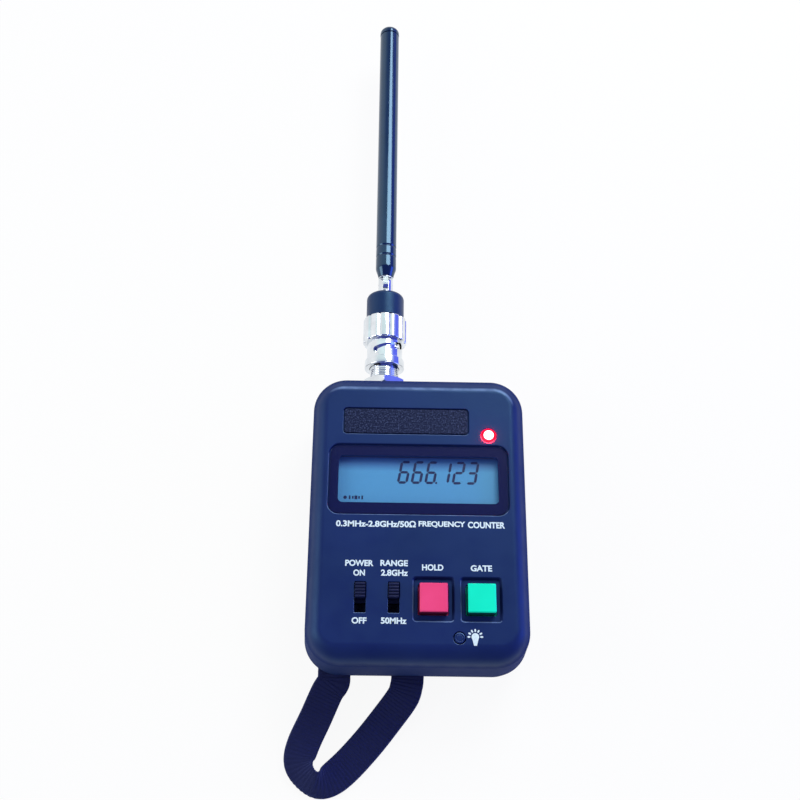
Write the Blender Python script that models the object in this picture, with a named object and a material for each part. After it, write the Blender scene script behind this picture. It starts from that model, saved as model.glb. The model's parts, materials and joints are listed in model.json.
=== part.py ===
"""Handheld frequency counter: a two-part plastic case with a display, switches and push buttons,
a telescopic whip antenna on a bayonet connector, and a wrist strap of webbing.

It lies on its back. +Z leaves the front panel, +Y runs towards the antenna, and the origin is
the centre of the flat back.
"""

import math

import bmesh
import bpy
from mathutils import Matrix, Vector

MM = 0.001

# Gaps shared by all pieces
SEAT_GAP = 0.3 * MM
RUN_GAP = 0.1 * MM
OVERRUN = 1 * MM

# Case
CASE_WIDTH = 68 * MM
CASE_LENGTH = 90 * MM
CASE_THICKNESS = 31 * MM
CASE_WALL = 2.2 * MM
PLAN_RADIUS = 9 * MM
LEAST_CORNER = 1.5 * MM
BACK_ROUND = 3.5 * MM
FRONT_BAND = 5.2 * MM
FRONT_DROP = 6.5 * MM
FRONT_ARC_DEGREES = 70
ROUND_STEPS = 5
CORNER_STEPS = 6
PARTING_HEIGHT = 10 * MM
LIP_HEIGHT = 1.4 * MM
LIP_WALL_SHARE = 0.4
LIP_GAP = 0.2 * MM

# Case screws, their posts in the back and their bosses under the front panel
SCREW_SIDE_INSET = 6.8 * MM
SCREW_END_INSET = 14.5 * MM
SCREW_SHANK_RADIUS = 1.15 * MM
SCREW_HEAD_RADIUS = 2.2 * MM
SCREW_HEAD_HEIGHT = 1.6 * MM
SCREW_HEAD_SINK = 0.5 * MM
SCREW_BITE = 5 * MM
SCREW_SLOT = 0.6 * MM
POST_RADIUS = 3.2 * MM
BOSS_RADIUS = 2.9 * MM
BOSS_SHOULDER = 0.5 * MM

# Circuit board and what stands on it
BOARD_THICKNESS = 1.6 * MM
BOARD_DEPTH = 9.2 * MM
BOARD_EDGE_GAP = 0.8 * MM
BOARD_SCREW_SHANK = 0.9 * MM
BOARD_SCREW_HEAD = 1.8 * MM
BOARD_SCREW_HEAD_HEIGHT = 1.2 * MM
BOARD_SCREW_BITE = 4 * MM
BOARD_POST_RADIUS = 2.1 * MM
BOARD_POST_END_INSET = 6 * MM
BOARD_POST_X_SHARES = (0.0, 0.09)
SHIELD_WIDTH = 15 * MM
SHIELD_LENGTH = 11.4 * MM
SHIELD_HEIGHT = 4.5 * MM
SHIELD_WALL = 0.5 * MM
PRESCALER_SIZE = (6.2 * MM, 3.4 * MM, 1.6 * MM)
COUNTER_SIZE = (14 * MM, 14 * MM, 2.2 * MM)
CRYSTAL_SIZE = (11.2 * MM, 4.7 * MM, 3.6 * MM)
COUNTER_PLACE_SHARES = (0.12, -0.122)
CRYSTAL_PLACE_SHARES = (-0.24, -0.122)
PRESCALER_INSET = 3.1 * MM

# Rechargeable cells
CELL_DIAMETER = 14.2 * MM
CELL_LENGTH = 50.2 * MM
CELL_COUNT = 4
CELL_GAP = 0.4 * MM
CELL_TERMINAL_RADIUS = 2.7 * MM
CELL_TERMINAL_HEIGHT = 1 * MM
CELL_EDGE = 0.6 * MM

# Charging socket in the top wall
SOCKET_WIDTH = 9 * MM
SOCKET_HEIGHT = 9.2 * MM
SOCKET_DEPTH = 12.6 * MM
SOCKET_BORE = 2.8 * MM
SOCKET_BORE_DEPTH = 9 * MM
SOCKET_PIN_RADIUS = 1 * MM
SOCKET_HOLE_RADIUS = 3.3 * MM
SOCKET_X_SHARE = 0.19

# Display: window, liquid crystal glass, backlight, bezel and connector strip
WINDOW_SIDE_MARGIN = 6.5 * MM
WINDOW_END_BORDER = 3.8 * MM
WINDOW_CORNER = 3.4 * MM
WINDOW_RECESS = 1.2 * MM
WINDOW_PLATE = 0.8 * MM
WINDOW_BORDER = 3 * MM
VIEW_LENGTH = 14.8 * MM
VIEW_CORNER = 0.8 * MM
WINDOW_Y_SHARE = 0.115
VIEW_Y_OFFSET = 0.4 * MM
GLASS_BORDER = 2.2 * MM
GLASS_THICKNESS = 2.2 * MM
BEZEL_LIP = 0.6 * MM
BEZEL_WALL = 0.9 * MM
BACKLIGHT_THICKNESS = 2.8 * MM
ZEBRA_WIDTH = 2 * MM

# Name plate, left blank
PLATE_WIDTH = 37.9 * MM
PLATE_LENGTH = 7.5 * MM
PLATE_THICKNESS = 0.5 * MM
PLATE_RECESS = 0.8 * MM
PLATE_CORNER = 0.8 * MM
PLATE_X_SHARE = -0.0585
PLATE_WINDOW_GAP = 4.04 * MM

# Gate lamp
LED_RADIUS = 1.5 * MM
LED_RISE = 1.4 * MM
LED_FLANGE = 0.5 * MM
LED_BODY_DEPTH = 4.6 * MM
LED_LEAD = 0.5 * MM
LED_LEAD_SPACING = 2.54 * MM
LED_X_SHARE = 0.317
LED_WINDOW_GAP = 1.745 * MM

# Slide switches
SLOT_WIDTH = 3.4 * MM
SLOT_LENGTH = 9.1 * MM
SLOT_Y_SHARE = -0.288
POWER_X_SHARE = -0.25
RANGE_X_SHARE = -0.1055
KNOB_LENGTH = 4.6 * MM
KNOB_RISE = 0.7 * MM
KNOB_TRAVEL = 4 * MM
KNOB_FLANGE = 1 * MM
KNOB_STEM = 1.6 * MM
KNOB_RIB = 0.45 * MM
KNOB_RIBS = 4
SLIDE_BODY_WIDTH = 5.4 * MM
SLIDE_BODY_LENGTH = 11.6 * MM
SLIDE_BODY_HEIGHT = 4.6 * MM
SLIDE_BODY_SLOT_DEPTH = 2.4 * MM

# Push buttons
BUTTON_SIZE = 8.4 * MM
BUTTON_RISE = 2.5 * MM
BUTTON_EDGE = 0.9 * MM
BUTTON_FLANGE = 0.9 * MM
BUTTON_STEM = 2.6 * MM
BUTTON_TRAVEL = 1.2 * MM
BUTTON_Y_SHARE = -0.292
BUTTON_POCKET_GAP = 2 * MM
POCKET_BORDER = 1.8 * MM
POCKET_END_BORDER = 2.3 * MM
POCKET_DEPTH = 1.3 * MM
POCKET_SLOPE = 0.5 * MM
PRESS_BODY_SIZE = 8 * MM
PRESS_BODY_HEIGHT = 5 * MM
PRESS_SOCKET_DEPTH = 3.4 * MM
STEM_SIDE_GAP = 0.2 * MM

# Round button for the backlight
LAMP_RADIUS = 1.55 * MM
LAMP_RISE = 0.15 * MM
LAMP_FLANGE = 0.8 * MM
LAMP_STEM = 0.9 * MM
LAMP_PLACE_SHARES = (0.1753, -0.4161)
LAMP_TRAVEL = 0.7 * MM
LAMP_BODY_SIZE = 6 * MM
LAMP_BODY_HEIGHT = 3.6 * MM
LAMP_SOCKET_DEPTH = 2.2 * MM

# Bayonet jack in the top wall
JACK_X_SHARE = -0.162
JACK_FLANGE_RADIUS = 6.2 * MM
JACK_FLANGE_LENGTH = 1.6 * MM
JACK_SLEEVE_RADIUS = 4.83 * MM
JACK_THREAD_STEP = 0.08 * MM
JACK_SLEEVE_WALL = 0.71 * MM
JACK_MOUTH_DEPTH = 9.4 * MM
JACK_REACH = 20.2 * MM
JACK_BORE = 2.7 * MM
JACK_TAIL = 7.2 * MM
LUG_RADIUS = 1 * MM
LUG_HEIGHT = 0.62 * MM
LUG_BACK = 4.2 * MM
LUG_DEGREES = 62
JACK_WASHER_RADIUS = 7 * MM
JACK_WASHER_THICKNESS = 0.7 * MM
JACK_NUT_FLATS = 12.7 * MM
JACK_NUT_LENGTH = 2.6 * MM
INSULATOR_RADIUS = 2.45 * MM
CONTACT_RADIUS = 0.95 * MM
CONTACT_WIRE = 0.55 * MM
CONTACT_BORE_DEPTH = 5 * MM
CONTACT_RECESS = 0.6 * MM

# Bayonet plug: coupling nut, spring washer and plug body
NUT_START = 8.6 * MM
NUT_RIM_RISE = 0.65 * MM
NUT_RIM_LENGTH = 2.9 * MM
NUT_BARREL_WALL = 0.92 * MM
NUT_BARREL_LENGTH = 6.2 * MM
NUT_RING_RISE = 1.35 * MM
NUT_RING_LENGTH = 8.8 * MM
NUT_FLUTES = 12
NUT_FLUTE_DEPTH = 0.35 * MM
NUT_SLEEVE_GAP = 0.15 * MM
NUT_LIP_LENGTH = 2.2 * MM
NUT_TURN_DEGREES = 90
NUT_LEAD = 2.2 * MM
TRACK_GAP = 0.15 * MM
TRACK_STEPS = 10
WASHER_THICKNESS = 0.5 * MM
WASHER_WAVE = 0.3 * MM
WASHER_WAVES = 3
WASHER_STEPS = 24
PLUG_SLEEVE_GAP = 0.12 * MM
PLUG_SLEEVE_WALL = 0.6 * MM
PLUG_SLEEVE_LENGTH = 8.6 * MM
PLUG_FLANGE_RISE = 0.77 * MM
PLUG_FLANGE_LENGTH = 1.4 * MM
PLUG_NECK_RADIUS = 4.1 * MM
PLUG_NECK_IN_COLLAR = 4.2 * MM
PLUG_PIN_RADIUS = 0.45 * MM
PLUG_PIN_LENGTH = 4 * MM

# Moulded collar and elbow
COLLAR_RADIUS = 6.3 * MM
COLLAR_LENGTH = 8.9 * MM
COLLAR_TOP_RADIUS = 5 * MM
COLLAR_SHOULDER = 1.6 * MM
COLLAR_STEPS = 4
FORK_RADIUS = 2.5 * MM
FORK_ROOT = 3.6 * MM
FORK_SLOT = 1.8 * MM
ELBOW_CLEARANCE = 0.7 * MM
ELBOW_PIN_RADIUS = 0.6 * MM
TANG_ROUND = 2.3 * MM
TANG_COLLAR_START = 2.85 * MM
TANG_PLUG_LENGTH = 6.5 * MM

# Telescopic tubes
TUBE_RADIUS = 3.5 * MM
TUBE_WALL = 0.35 * MM
TUBE_COUNT = 6
TUBE_LENGTH = 104.6 * MM
TUBE_FOOT_RADIUS = 2.55 * MM
TUBE_FOOT_WALL = 0.4 * MM
TUBE_TAPER = 3.6 * MM
CRIMP_RISES = (7.9 * MM, 11.6 * MM)
CRIMP_WIDTH = 0.8 * MM
CRIMP_DEPTH = 0.15 * MM
TIP_RIM = 0.05 * MM
TIP_SKIRT = 1 * MM
TIP_DOME = 2.4 * MM
TIP_STEPS = 5
TIP_SOCKET = 1.6 * MM

# Wrist strap and the bar that holds its ends
STRAP_WIDTH = 10 * MM
STRAP_THICKNESS = 1.2 * MM
STRAP_HEIGHT = 5.6 * MM
STRAP_MIDDLE_X_SHARE = -0.2
STRAP_SPACING = 22.4 * MM
STRAP_REACH = 31 * MM
STRAP_SLOT_GAP = 0.35 * MM
BAR_RADIUS = 0.9 * MM
BAR_INSET = 7 * MM
BAR_HOLDER = 1.2 * MM
BAR_HOLDER_WIDTH = 4.4 * MM
HOOK_DEGREES = 250
HOOK_STEPS = 9
STRAP_STEPS = 4
# Along the loop from the right slot to the left one: place across as a share of the spacing,
# place outwards as a share of the reach, height as a share of the slots' height, tilt in degrees
STRAP_ROUTE_SHARES = (
    (0.5, 0.0, 1.0, 0),
    (0.487, 0.08, 0.98, 0),
    (0.433, 0.19, 0.83, 4),
    (0.223, 0.39, 0.45, 6),
    (-0.036, 0.62, 0.26, 3),
    (-0.32, 0.84, 0.25, 5),
    (-0.535, 0.965, 0.5, 22),
    (-0.715, 1.0, 0.76, 45),
    (-0.862, 0.925, 0.79, 42),
    (-0.933, 0.795, 0.7, 18),
    (-0.884, 0.632, 0.68, 0),
    (-0.732, 0.387, 0.82, 0),
    (-0.589, 0.148, 0.95, 0),
    (-0.509, 0.06, 1.0, 0),
    (-0.5, 0.0, 1.0, 0),
)

# Sides of the polygons that stand for round pieces
FINE_SIDES = 32
ROUND_SIDES = 24
SMALL_SIDES = 16
TINY_SIDES = 10

# Heights and places that follow from the sizes above
HALF_WIDTH = CASE_WIDTH / 2
HALF_LENGTH = CASE_LENGTH / 2
PANEL_UNDERSIDE = CASE_THICKNESS - CASE_WALL
BOARD_TOP = PANEL_UNDERSIDE - BOARD_DEPTH
BOARD_BOTTOM = BOARD_TOP - BOARD_THICKNESS
ON_BOARD = BOARD_TOP + SEAT_GAP
UNDER_PANEL = PANEL_UNDERSIDE - SEAT_GAP
SCREW_X = HALF_WIDTH - SCREW_SIDE_INSET
SCREW_Y = HALF_LENGTH - SCREW_END_INSET
WINDOW_WIDTH = CASE_WIDTH - 2 * WINDOW_SIDE_MARGIN
WINDOW_LENGTH = VIEW_LENGTH + 2 * WINDOW_END_BORDER
WINDOW_Y = WINDOW_Y_SHARE * CASE_LENGTH
WINDOW_TOP = WINDOW_Y + WINDOW_LENGTH / 2
VIEW_WIDTH = WINDOW_WIDTH - 2 * WINDOW_BORDER
VIEW_Y = WINDOW_Y + VIEW_Y_OFFSET
PLATE_PLACE = (PLATE_X_SHARE * CASE_WIDTH, WINDOW_TOP + PLATE_WINDOW_GAP + PLATE_LENGTH / 2)
LED_PLACE = (LED_X_SHARE * CASE_WIDTH, WINDOW_TOP + LED_WINDOW_GAP + LED_RADIUS)
BOSS_WIDE_RADIUS = BOSS_RADIUS + BOSS_SHOULDER
GATE_X = SCREW_X - BOSS_WIDE_RADIUS - SEAT_GAP - BUTTON_FLANGE - BUTTON_SIZE / 2
HOLD_X = GATE_X - BUTTON_SIZE - 2 * POCKET_BORDER - BUTTON_POCKET_GAP
JACK_THREAD_RADIUS = JACK_SLEEVE_RADIUS - JACK_THREAD_STEP
JACK_MOUTH_RADIUS = JACK_SLEEVE_RADIUS - JACK_SLEEVE_WALL
LUG_REACH = JACK_SLEEVE_RADIUS + LUG_HEIGHT
NUT_BARREL_RADIUS = JACK_SLEEVE_RADIUS + NUT_SLEEVE_GAP + NUT_BARREL_WALL
NUT_RIM_RADIUS = NUT_BARREL_RADIUS + NUT_RIM_RISE
NUT_RING_RADIUS = NUT_BARREL_RADIUS + NUT_RING_RISE
PLUG_SLEEVE_RADIUS = JACK_MOUTH_RADIUS - PLUG_SLEEVE_GAP
PLUG_FLANGE_RADIUS = JACK_SLEEVE_RADIUS + PLUG_FLANGE_RISE
WASHER_RADIUS = PLUG_FLANGE_RADIUS
AXIS_X = JACK_X_SHARE * CASE_WIDTH
AXIS_Z = CASE_THICKNESS / 2
JACK_FACE = HALF_LENGTH + JACK_REACH
LUG_Y = JACK_FACE - LUG_BACK
NUT_FRONT = HALF_LENGTH + NUT_START
NUT_BARREL_START = NUT_FRONT + NUT_RIM_LENGTH
NUT_RING_START = NUT_BARREL_START + NUT_BARREL_LENGTH
NUT_BACK = NUT_RING_START + NUT_RING_LENGTH
COLLAR_FRONT = NUT_BACK + SEAT_GAP
COLLAR_BACK = COLLAR_FRONT + COLLAR_LENGTH
ELBOW_Y = COLLAR_BACK + TUBE_RADIUS + ELBOW_CLEARANCE
TUBE_FRONT = ELBOW_Y + TANG_COLLAR_START + SEAT_GAP
TUBE_BACK = TUBE_FRONT + TUBE_LENGTH
TIP_RADIUS = TUBE_RADIUS + TIP_RIM

BLACK_PLASTIC = ("black_plastic", (0.012, 0.016, 0.035), 0.55, 0.0)
BLACK_GLOSS = ("black_gloss", (0.008, 0.01, 0.022), 0.22, 0.0)
CHROME = ("chrome", (0.75, 0.77, 0.8), 0.14, 1.0)
GOLD = ("gold_plate", (0.83, 0.6, 0.25), 0.25, 1.0)
STEEL = ("steel", (0.55, 0.56, 0.58), 0.35, 1.0)
WHITE_PLASTIC = ("white_insulator", (0.8, 0.8, 0.78), 0.5, 0.0)
RED_PLASTIC = ("red_button", (0.8, 0.07, 0.16), 0.4, 0.0)
GREEN_PLASTIC = ("green_button", (0.01, 0.6, 0.35), 0.4, 0.0)
LED_RED = ("led_red", (0.9, 0.03, 0.05), 0.15, 0.0)
CLEAR = ("clear_window", (0.5, 0.6, 0.68), 0.08, 0.0)
GLASS = ("display_glass", (0.25, 0.36, 0.42), 0.12, 0.0)
BACKLIGHT = ("backlight_panel", (0.75, 0.82, 0.7), 0.5, 0.0)
RUBBER = ("connector_rubber", (0.1, 0.1, 0.1), 0.8, 0.0)
BOARD = ("circuit_board", (0.02, 0.16, 0.07), 0.45, 0.0)
CHIP = ("chip", (0.02, 0.02, 0.022), 0.5, 0.0)
NAMEPLATE = ("nameplate_metal", (0.05, 0.09, 0.17), 0.4, 0.6)
CELL = ("cell_sleeve", (0.08, 0.25, 0.14), 0.4, 0.0)
WEBBING = ("webbing", (0.01, 0.013, 0.03), 0.85, 0.0)


def clear_scene():
    for old in list(bpy.data.objects):
        bpy.data.objects.remove(old, do_unlink=True)


def material(finish):
    name, colour, roughness, metallic = finish
    found = bpy.data.materials.get(name)
    if found:
        return found
    made = bpy.data.materials.new(name)
    made.use_nodes = True
    shader = made.node_tree.nodes["Principled BSDF"]
    shader.inputs["Base Color"].default_value = (*colour, 1.0)
    shader.inputs["Roughness"].default_value = roughness
    shader.inputs["Metallic"].default_value = metallic
    made.diffuse_color = (*colour, 1.0)
    return made


def add_mesh(name, points, faces, finish=None, origin=(0, 0, 0)):
    """An object from points in the scene's own frame, with its origin moved to a given place."""
    origin = Vector(origin)
    mesh = bpy.data.meshes.new(name)
    mesh.from_pydata([Vector(point) - origin for point in points], [], faces)
    work = bmesh.new()
    work.from_mesh(mesh)
    bmesh.ops.recalc_face_normals(work, faces=work.faces)
    work.to_mesh(mesh)
    work.free()
    added = bpy.data.objects.new(name, mesh)
    added.location = origin
    bpy.context.scene.collection.objects.link(added)
    if finish:
        mesh.materials.append(material(finish))
    return added


def as_guide(piece):
    piece.hide_render = True
    piece.hide_set(True)
    piece.display_type = "WIRE"
    return piece


def boolean(target, tool, operation):
    step = target.modifiers.new(tool.name, "BOOLEAN")
    step.operation = operation
    step.solver = "EXACT"
    step.object = as_guide(tool)
    return target


def cut(target, *tools):
    for tool in tools:
        boolean(target, tool, "DIFFERENCE")
    return target


def join(target, *tools):
    for tool in tools:
        boolean(target, tool, "UNION")
    return target


def smooth(piece, degrees=35):
    piece.data.shade_smooth()
    piece.data.set_sharp_from_angle(angle=math.radians(degrees))
    return piece


def box(name, low, high, finish=None, origin=(0, 0, 0)):
    xs, ys, zs = zip(low, high)
    points = [(x, y, z) for z in zs for y in ys for x in xs]
    faces = [(0, 2, 3, 1), (4, 5, 7, 6), (0, 1, 5, 4), (2, 6, 7, 3), (0, 4, 6, 2), (1, 3, 7, 5)]
    return add_mesh(name, points, faces, finish, origin)


def centred_box(name, place, size, bottom, top, finish=None, origin=(0, 0, 0)):
    x, y = place
    half_x, half_y = size[0] / 2, size[1] / 2
    return box(name, (x - half_x, y - half_y, bottom), (x + half_x, y + half_y, top), finish, origin)


def rounded_outline(width, length, radius, steps=CORNER_STEPS, centre=(0, 0)):
    """A rectangle with round corners, anticlockwise, as plan points."""
    centre_x, centre_y = centre
    points = []
    for quarter, (side_x, side_y) in enumerate(((1, 1), (-1, 1), (-1, -1), (1, -1))):
        corner_x = centre_x + side_x * (width / 2 - radius)
        corner_y = centre_y + side_y * (length / 2 - radius)
        for step in range(steps + 1):
            angle = math.pi / 2 * (quarter + step / steps)
            points.append((corner_x + radius * math.cos(angle), corner_y + radius * math.sin(angle)))
    return points


def lofted(name, rings, finish=None, closed=False, origin=(0, 0, 0)):
    """A solid through rings of equally many points. A closed loft joins its last ring to its first."""
    count = len(rings[0])
    points = [point for ring in rings for point in ring]
    faces = []
    for level in range(len(rings) if closed else len(rings) - 1):
        here = level * count
        there = (level + 1) % len(rings) * count
        for i in range(count):
            j = (i + 1) % count
            faces.append((here + i, here + j, there + j, there + i))
    if not closed:
        faces.append(tuple(reversed(range(count))))
        faces.append(tuple(range((len(rings) - 1) * count, len(rings) * count)))
    return add_mesh(name, points, faces, finish, origin)


def plate(name, width, length, radius, bottom, top, centre=(0, 0), finish=None, origin=(0, 0, 0)):
    outline = rounded_outline(width, length, radius, centre=centre)
    rings = [[(x, y, z) for x, y in outline] for z in (bottom, top)]
    return lofted(name, rings, finish, origin=origin)


AXES = {
    "X": Matrix(((0, 0, 1), (1, 0, 0), (0, 1, 0))),
    "Y": Matrix(((0, 1, 0), (0, 0, 1), (1, 0, 0))),
    "Z": Matrix(((1, 0, 0), (0, 1, 0), (0, 0, 1))),
}


def turned(name, profile, sides, axis, centre, finish=None, tube=False, turn=0.0):
    """A profile of (radius, place along the axis) spun about an axis through a centre.

    A tube's profile is a closed loop; any other runs from the axis out and back to it.
    """
    centre = Vector(centre)
    frame = AXES[axis]
    points, faces, rings = [], [], []
    for radius, along in profile:
        if radius == 0:
            rings.append([len(points)])
            points.append(centre + frame @ Vector((0, 0, along)))
            continue
        rings.append(list(range(len(points), len(points) + sides)))
        for i in range(sides):
            angle = 2 * math.pi * i / sides + turn
            spoke = Vector((radius * math.cos(angle), radius * math.sin(angle), along))
            points.append(centre + frame @ spoke)
    pairs = list(zip(rings, rings[1:] + rings[:1])) if tube else list(zip(rings, rings[1:]))
    for here, there in pairs:
        for i in range(sides):
            j = (i + 1) % sides
            if len(here) == 1 and len(there) > 1:
                faces.append((here[0], there[j], there[i]))
            elif len(there) == 1 and len(here) > 1:
                faces.append((here[i], here[j], there[0]))
            elif len(here) > 1:
                faces.append((here[i], here[j], there[j], there[i]))
    return smooth(add_mesh(name, points, faces, finish, centre))


def rod(name, radius, start, end, axis, centre, finish=None, sides=SMALL_SIDES):
    profile = [(0, start), (radius, start), (radius, end), (0, end)]
    return turned(name, profile, sides, axis, centre, finish)


def upright(place, height=0.0):
    return (place[0], place[1], height)


def on_axis(along):
    return (AXIS_X, along, AXIS_Z)


def screw_places():
    return [(x, y) for y in (SCREW_Y, -SCREW_Y) for x in (-SCREW_X, SCREW_X)]


def board_post_places():
    below, above = BOARD_POST_X_SHARES
    end = HALF_LENGTH - BOARD_POST_END_INSET
    return [(below * CASE_WIDTH, -end), (above * CASE_WIDTH, end)]


def panel_place(shares):
    return (shares[0] * CASE_WIDTH, shares[1] * CASE_LENGTH)


def case_ring(inset, height):
    radius = max(PLAN_RADIUS - inset, LEAST_CORNER)
    outline = rounded_outline(CASE_WIDTH - 2 * inset, CASE_LENGTH - 2 * inset, radius)
    return [(x, y, height) for x, y in outline]


def back_profile(inset):
    """(inset, height) from the flat back up to the parting line, this far inside the outer skin."""
    radius = BACK_ROUND - inset
    points = []
    for step in range(ROUND_STEPS + 1):
        angle = math.pi / 2 * step / ROUND_STEPS
        points.append((inset + radius * (1 - math.sin(angle)), BACK_ROUND - radius * math.cos(angle)))
    return points


def front_profile(inset):
    """(inset, height) from the straight side up to the front panel, this far inside the outer skin."""
    most = math.radians(FRONT_ARC_DEGREES)
    points = []
    for step in range(ROUND_STEPS + 1):
        angle = most * step / ROUND_STEPS
        across = (FRONT_BAND - inset) * (1 - math.cos(angle)) / (1 - math.cos(most))
        up = (FRONT_DROP - inset) * math.sin(angle) / math.sin(most)
        points.append((inset + across, CASE_THICKNESS - FRONT_DROP + up))
    return points


def press_button_places():
    y = BUTTON_Y_SHARE * CASE_LENGTH
    return {"hold": (HOLD_X, y), "gate": (GATE_X, y)}


def slide_switch_places():
    y = SLOT_Y_SHARE * CASE_LENGTH
    return {"power": (POWER_X_SHARE * CASE_WIDTH, y), "range": (RANGE_X_SHARE * CASE_WIDTH, y)}


def jack_hole(name):
    radius = JACK_THREAD_RADIUS + SEAT_GAP
    start = HALF_LENGTH - CASE_WALL - OVERRUN
    return rod(name, radius, start, HALF_LENGTH + OVERRUN, "Y", on_axis(0), sides=ROUND_SIDES)


def socket_place():
    return (SOCKET_X_SHARE * CASE_WIDTH, BOARD_BOTTOM - SEAT_GAP - SOCKET_HEIGHT / 2)


def socket_hole(name):
    x, z = socket_place()
    start = HALF_LENGTH - CASE_WALL - OVERRUN
    return rod(name, SOCKET_HOLE_RADIUS, start, HALF_LENGTH + OVERRUN, "Y", (x, 0, z), sides=ROUND_SIDES)


def front_shell():
    rebate = CASE_WALL * LIP_WALL_SHARE
    start = PARTING_HEIGHT + SEAT_GAP / 2
    step = PARTING_HEIGHT + LIP_HEIGHT + SEAT_GAP
    outer = [(0, start)] + front_profile(0)
    inner = [(rebate, start), (rebate, step), (CASE_WALL, step)] + front_profile(CASE_WALL)
    rings = [case_ring(*point) for point in reversed(inner)] + [case_ring(*point) for point in outer]
    shell = lofted("front_shell", rings, BLACK_PLASTIC)
    in_panel = PANEL_UNDERSIDE + CASE_WALL / 2
    for number, place in enumerate(screw_places(), 1):
        boss = [(0, start), (BOSS_RADIUS, start), (BOSS_RADIUS, ON_BOARD)]
        boss += [(BOSS_WIDE_RADIUS, ON_BOARD), (BOSS_WIDE_RADIUS, in_panel), (0, in_panel)]
        join(shell, turned(f"boss_{number}", boss, SMALL_SIDES, "Z", upright(place)))
    for number, place in enumerate(board_post_places(), 1):
        join(shell, rod(f"board_post_{number}", BOARD_POST_RADIUS, ON_BOARD, in_panel, "Z", upright(place)))
    low, high = PARTING_HEIGHT - OVERRUN, PARTING_HEIGHT + SCREW_BITE + OVERRUN
    for number, place in enumerate(screw_places(), 1):
        bore = SCREW_SHANK_RADIUS + RUN_GAP
        cut(shell, rod(f"boss_bore_{number}", bore, low, high, "Z", upright(place), sides=TINY_SIDES))
    low, high = BOARD_BOTTOM, ON_BOARD + BOARD_SCREW_BITE + OVERRUN
    for number, place in enumerate(board_post_places(), 1):
        bore = BOARD_SCREW_SHANK + RUN_GAP
        cut(shell, rod(f"post_bore_{number}", bore, low, high, "Z", upright(place), sides=TINY_SIDES))
    cut_display(shell)
    cut_controls(shell)
    return cut(shell, jack_hole("jack_hole"), socket_hole("socket_hole"))


def cut_display(shell):
    top = CASE_THICKNESS + OVERRUN
    floor = CASE_THICKNESS - WINDOW_RECESS
    under = PANEL_UNDERSIDE - OVERRUN
    cut(shell, plate("window_recess", WINDOW_WIDTH, WINDOW_LENGTH, WINDOW_CORNER, floor, top, (0, WINDOW_Y)))
    cut(shell, plate("view_hole", VIEW_WIDTH, VIEW_LENGTH, VIEW_CORNER, under, top, (0, VIEW_Y)))
    width, length = PLATE_WIDTH + 2 * SEAT_GAP, PLATE_LENGTH + 2 * SEAT_GAP
    corner = PLATE_CORNER + SEAT_GAP
    low = CASE_THICKNESS - PLATE_RECESS
    cut(shell, plate("plate_recess", width, length, corner, low, top, PLATE_PLACE))


def cut_controls(shell):
    top = CASE_THICKNESS + OVERRUN
    under = PANEL_UNDERSIDE - OVERRUN
    lamp = panel_place(LAMP_PLACE_SHARES)
    cut(shell, rod("led_hole", LED_RADIUS + RUN_GAP, under, top, "Z", upright(LED_PLACE)))
    cut(shell, rod("lamp_hole", LAMP_RADIUS + SEAT_GAP, under, top, "Z", upright(lamp)))
    for name, place in slide_switch_places().items():
        cut(shell, centred_box(f"{name}_slot", place, (SLOT_WIDTH, SLOT_LENGTH), under, top))
    for name, place in press_button_places().items():
        cut(shell, pocket_cutter(f"{name}_pocket", place))
        size = BUTTON_SIZE + 2 * SEAT_GAP
        cut(shell, centred_box(f"{name}_hole", place, (size, size), under, top))


def pocket_cutter(name, place):
    """The sloping recess round a push button."""
    rings = []
    for height in (CASE_THICKNESS - POCKET_DEPTH, CASE_THICKNESS + POCKET_DEPTH):
        grow = POCKET_SLOPE * (height - CASE_THICKNESS) / POCKET_DEPTH
        width = BUTTON_SIZE + 2 * (POCKET_BORDER + grow)
        length = BUTTON_SIZE + 2 * (POCKET_END_BORDER + grow)
        rings.append([(x, y, height) for x, y in rounded_outline(width, length, VIEW_CORNER, 2, place)])
    return lofted(name, rings)


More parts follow.
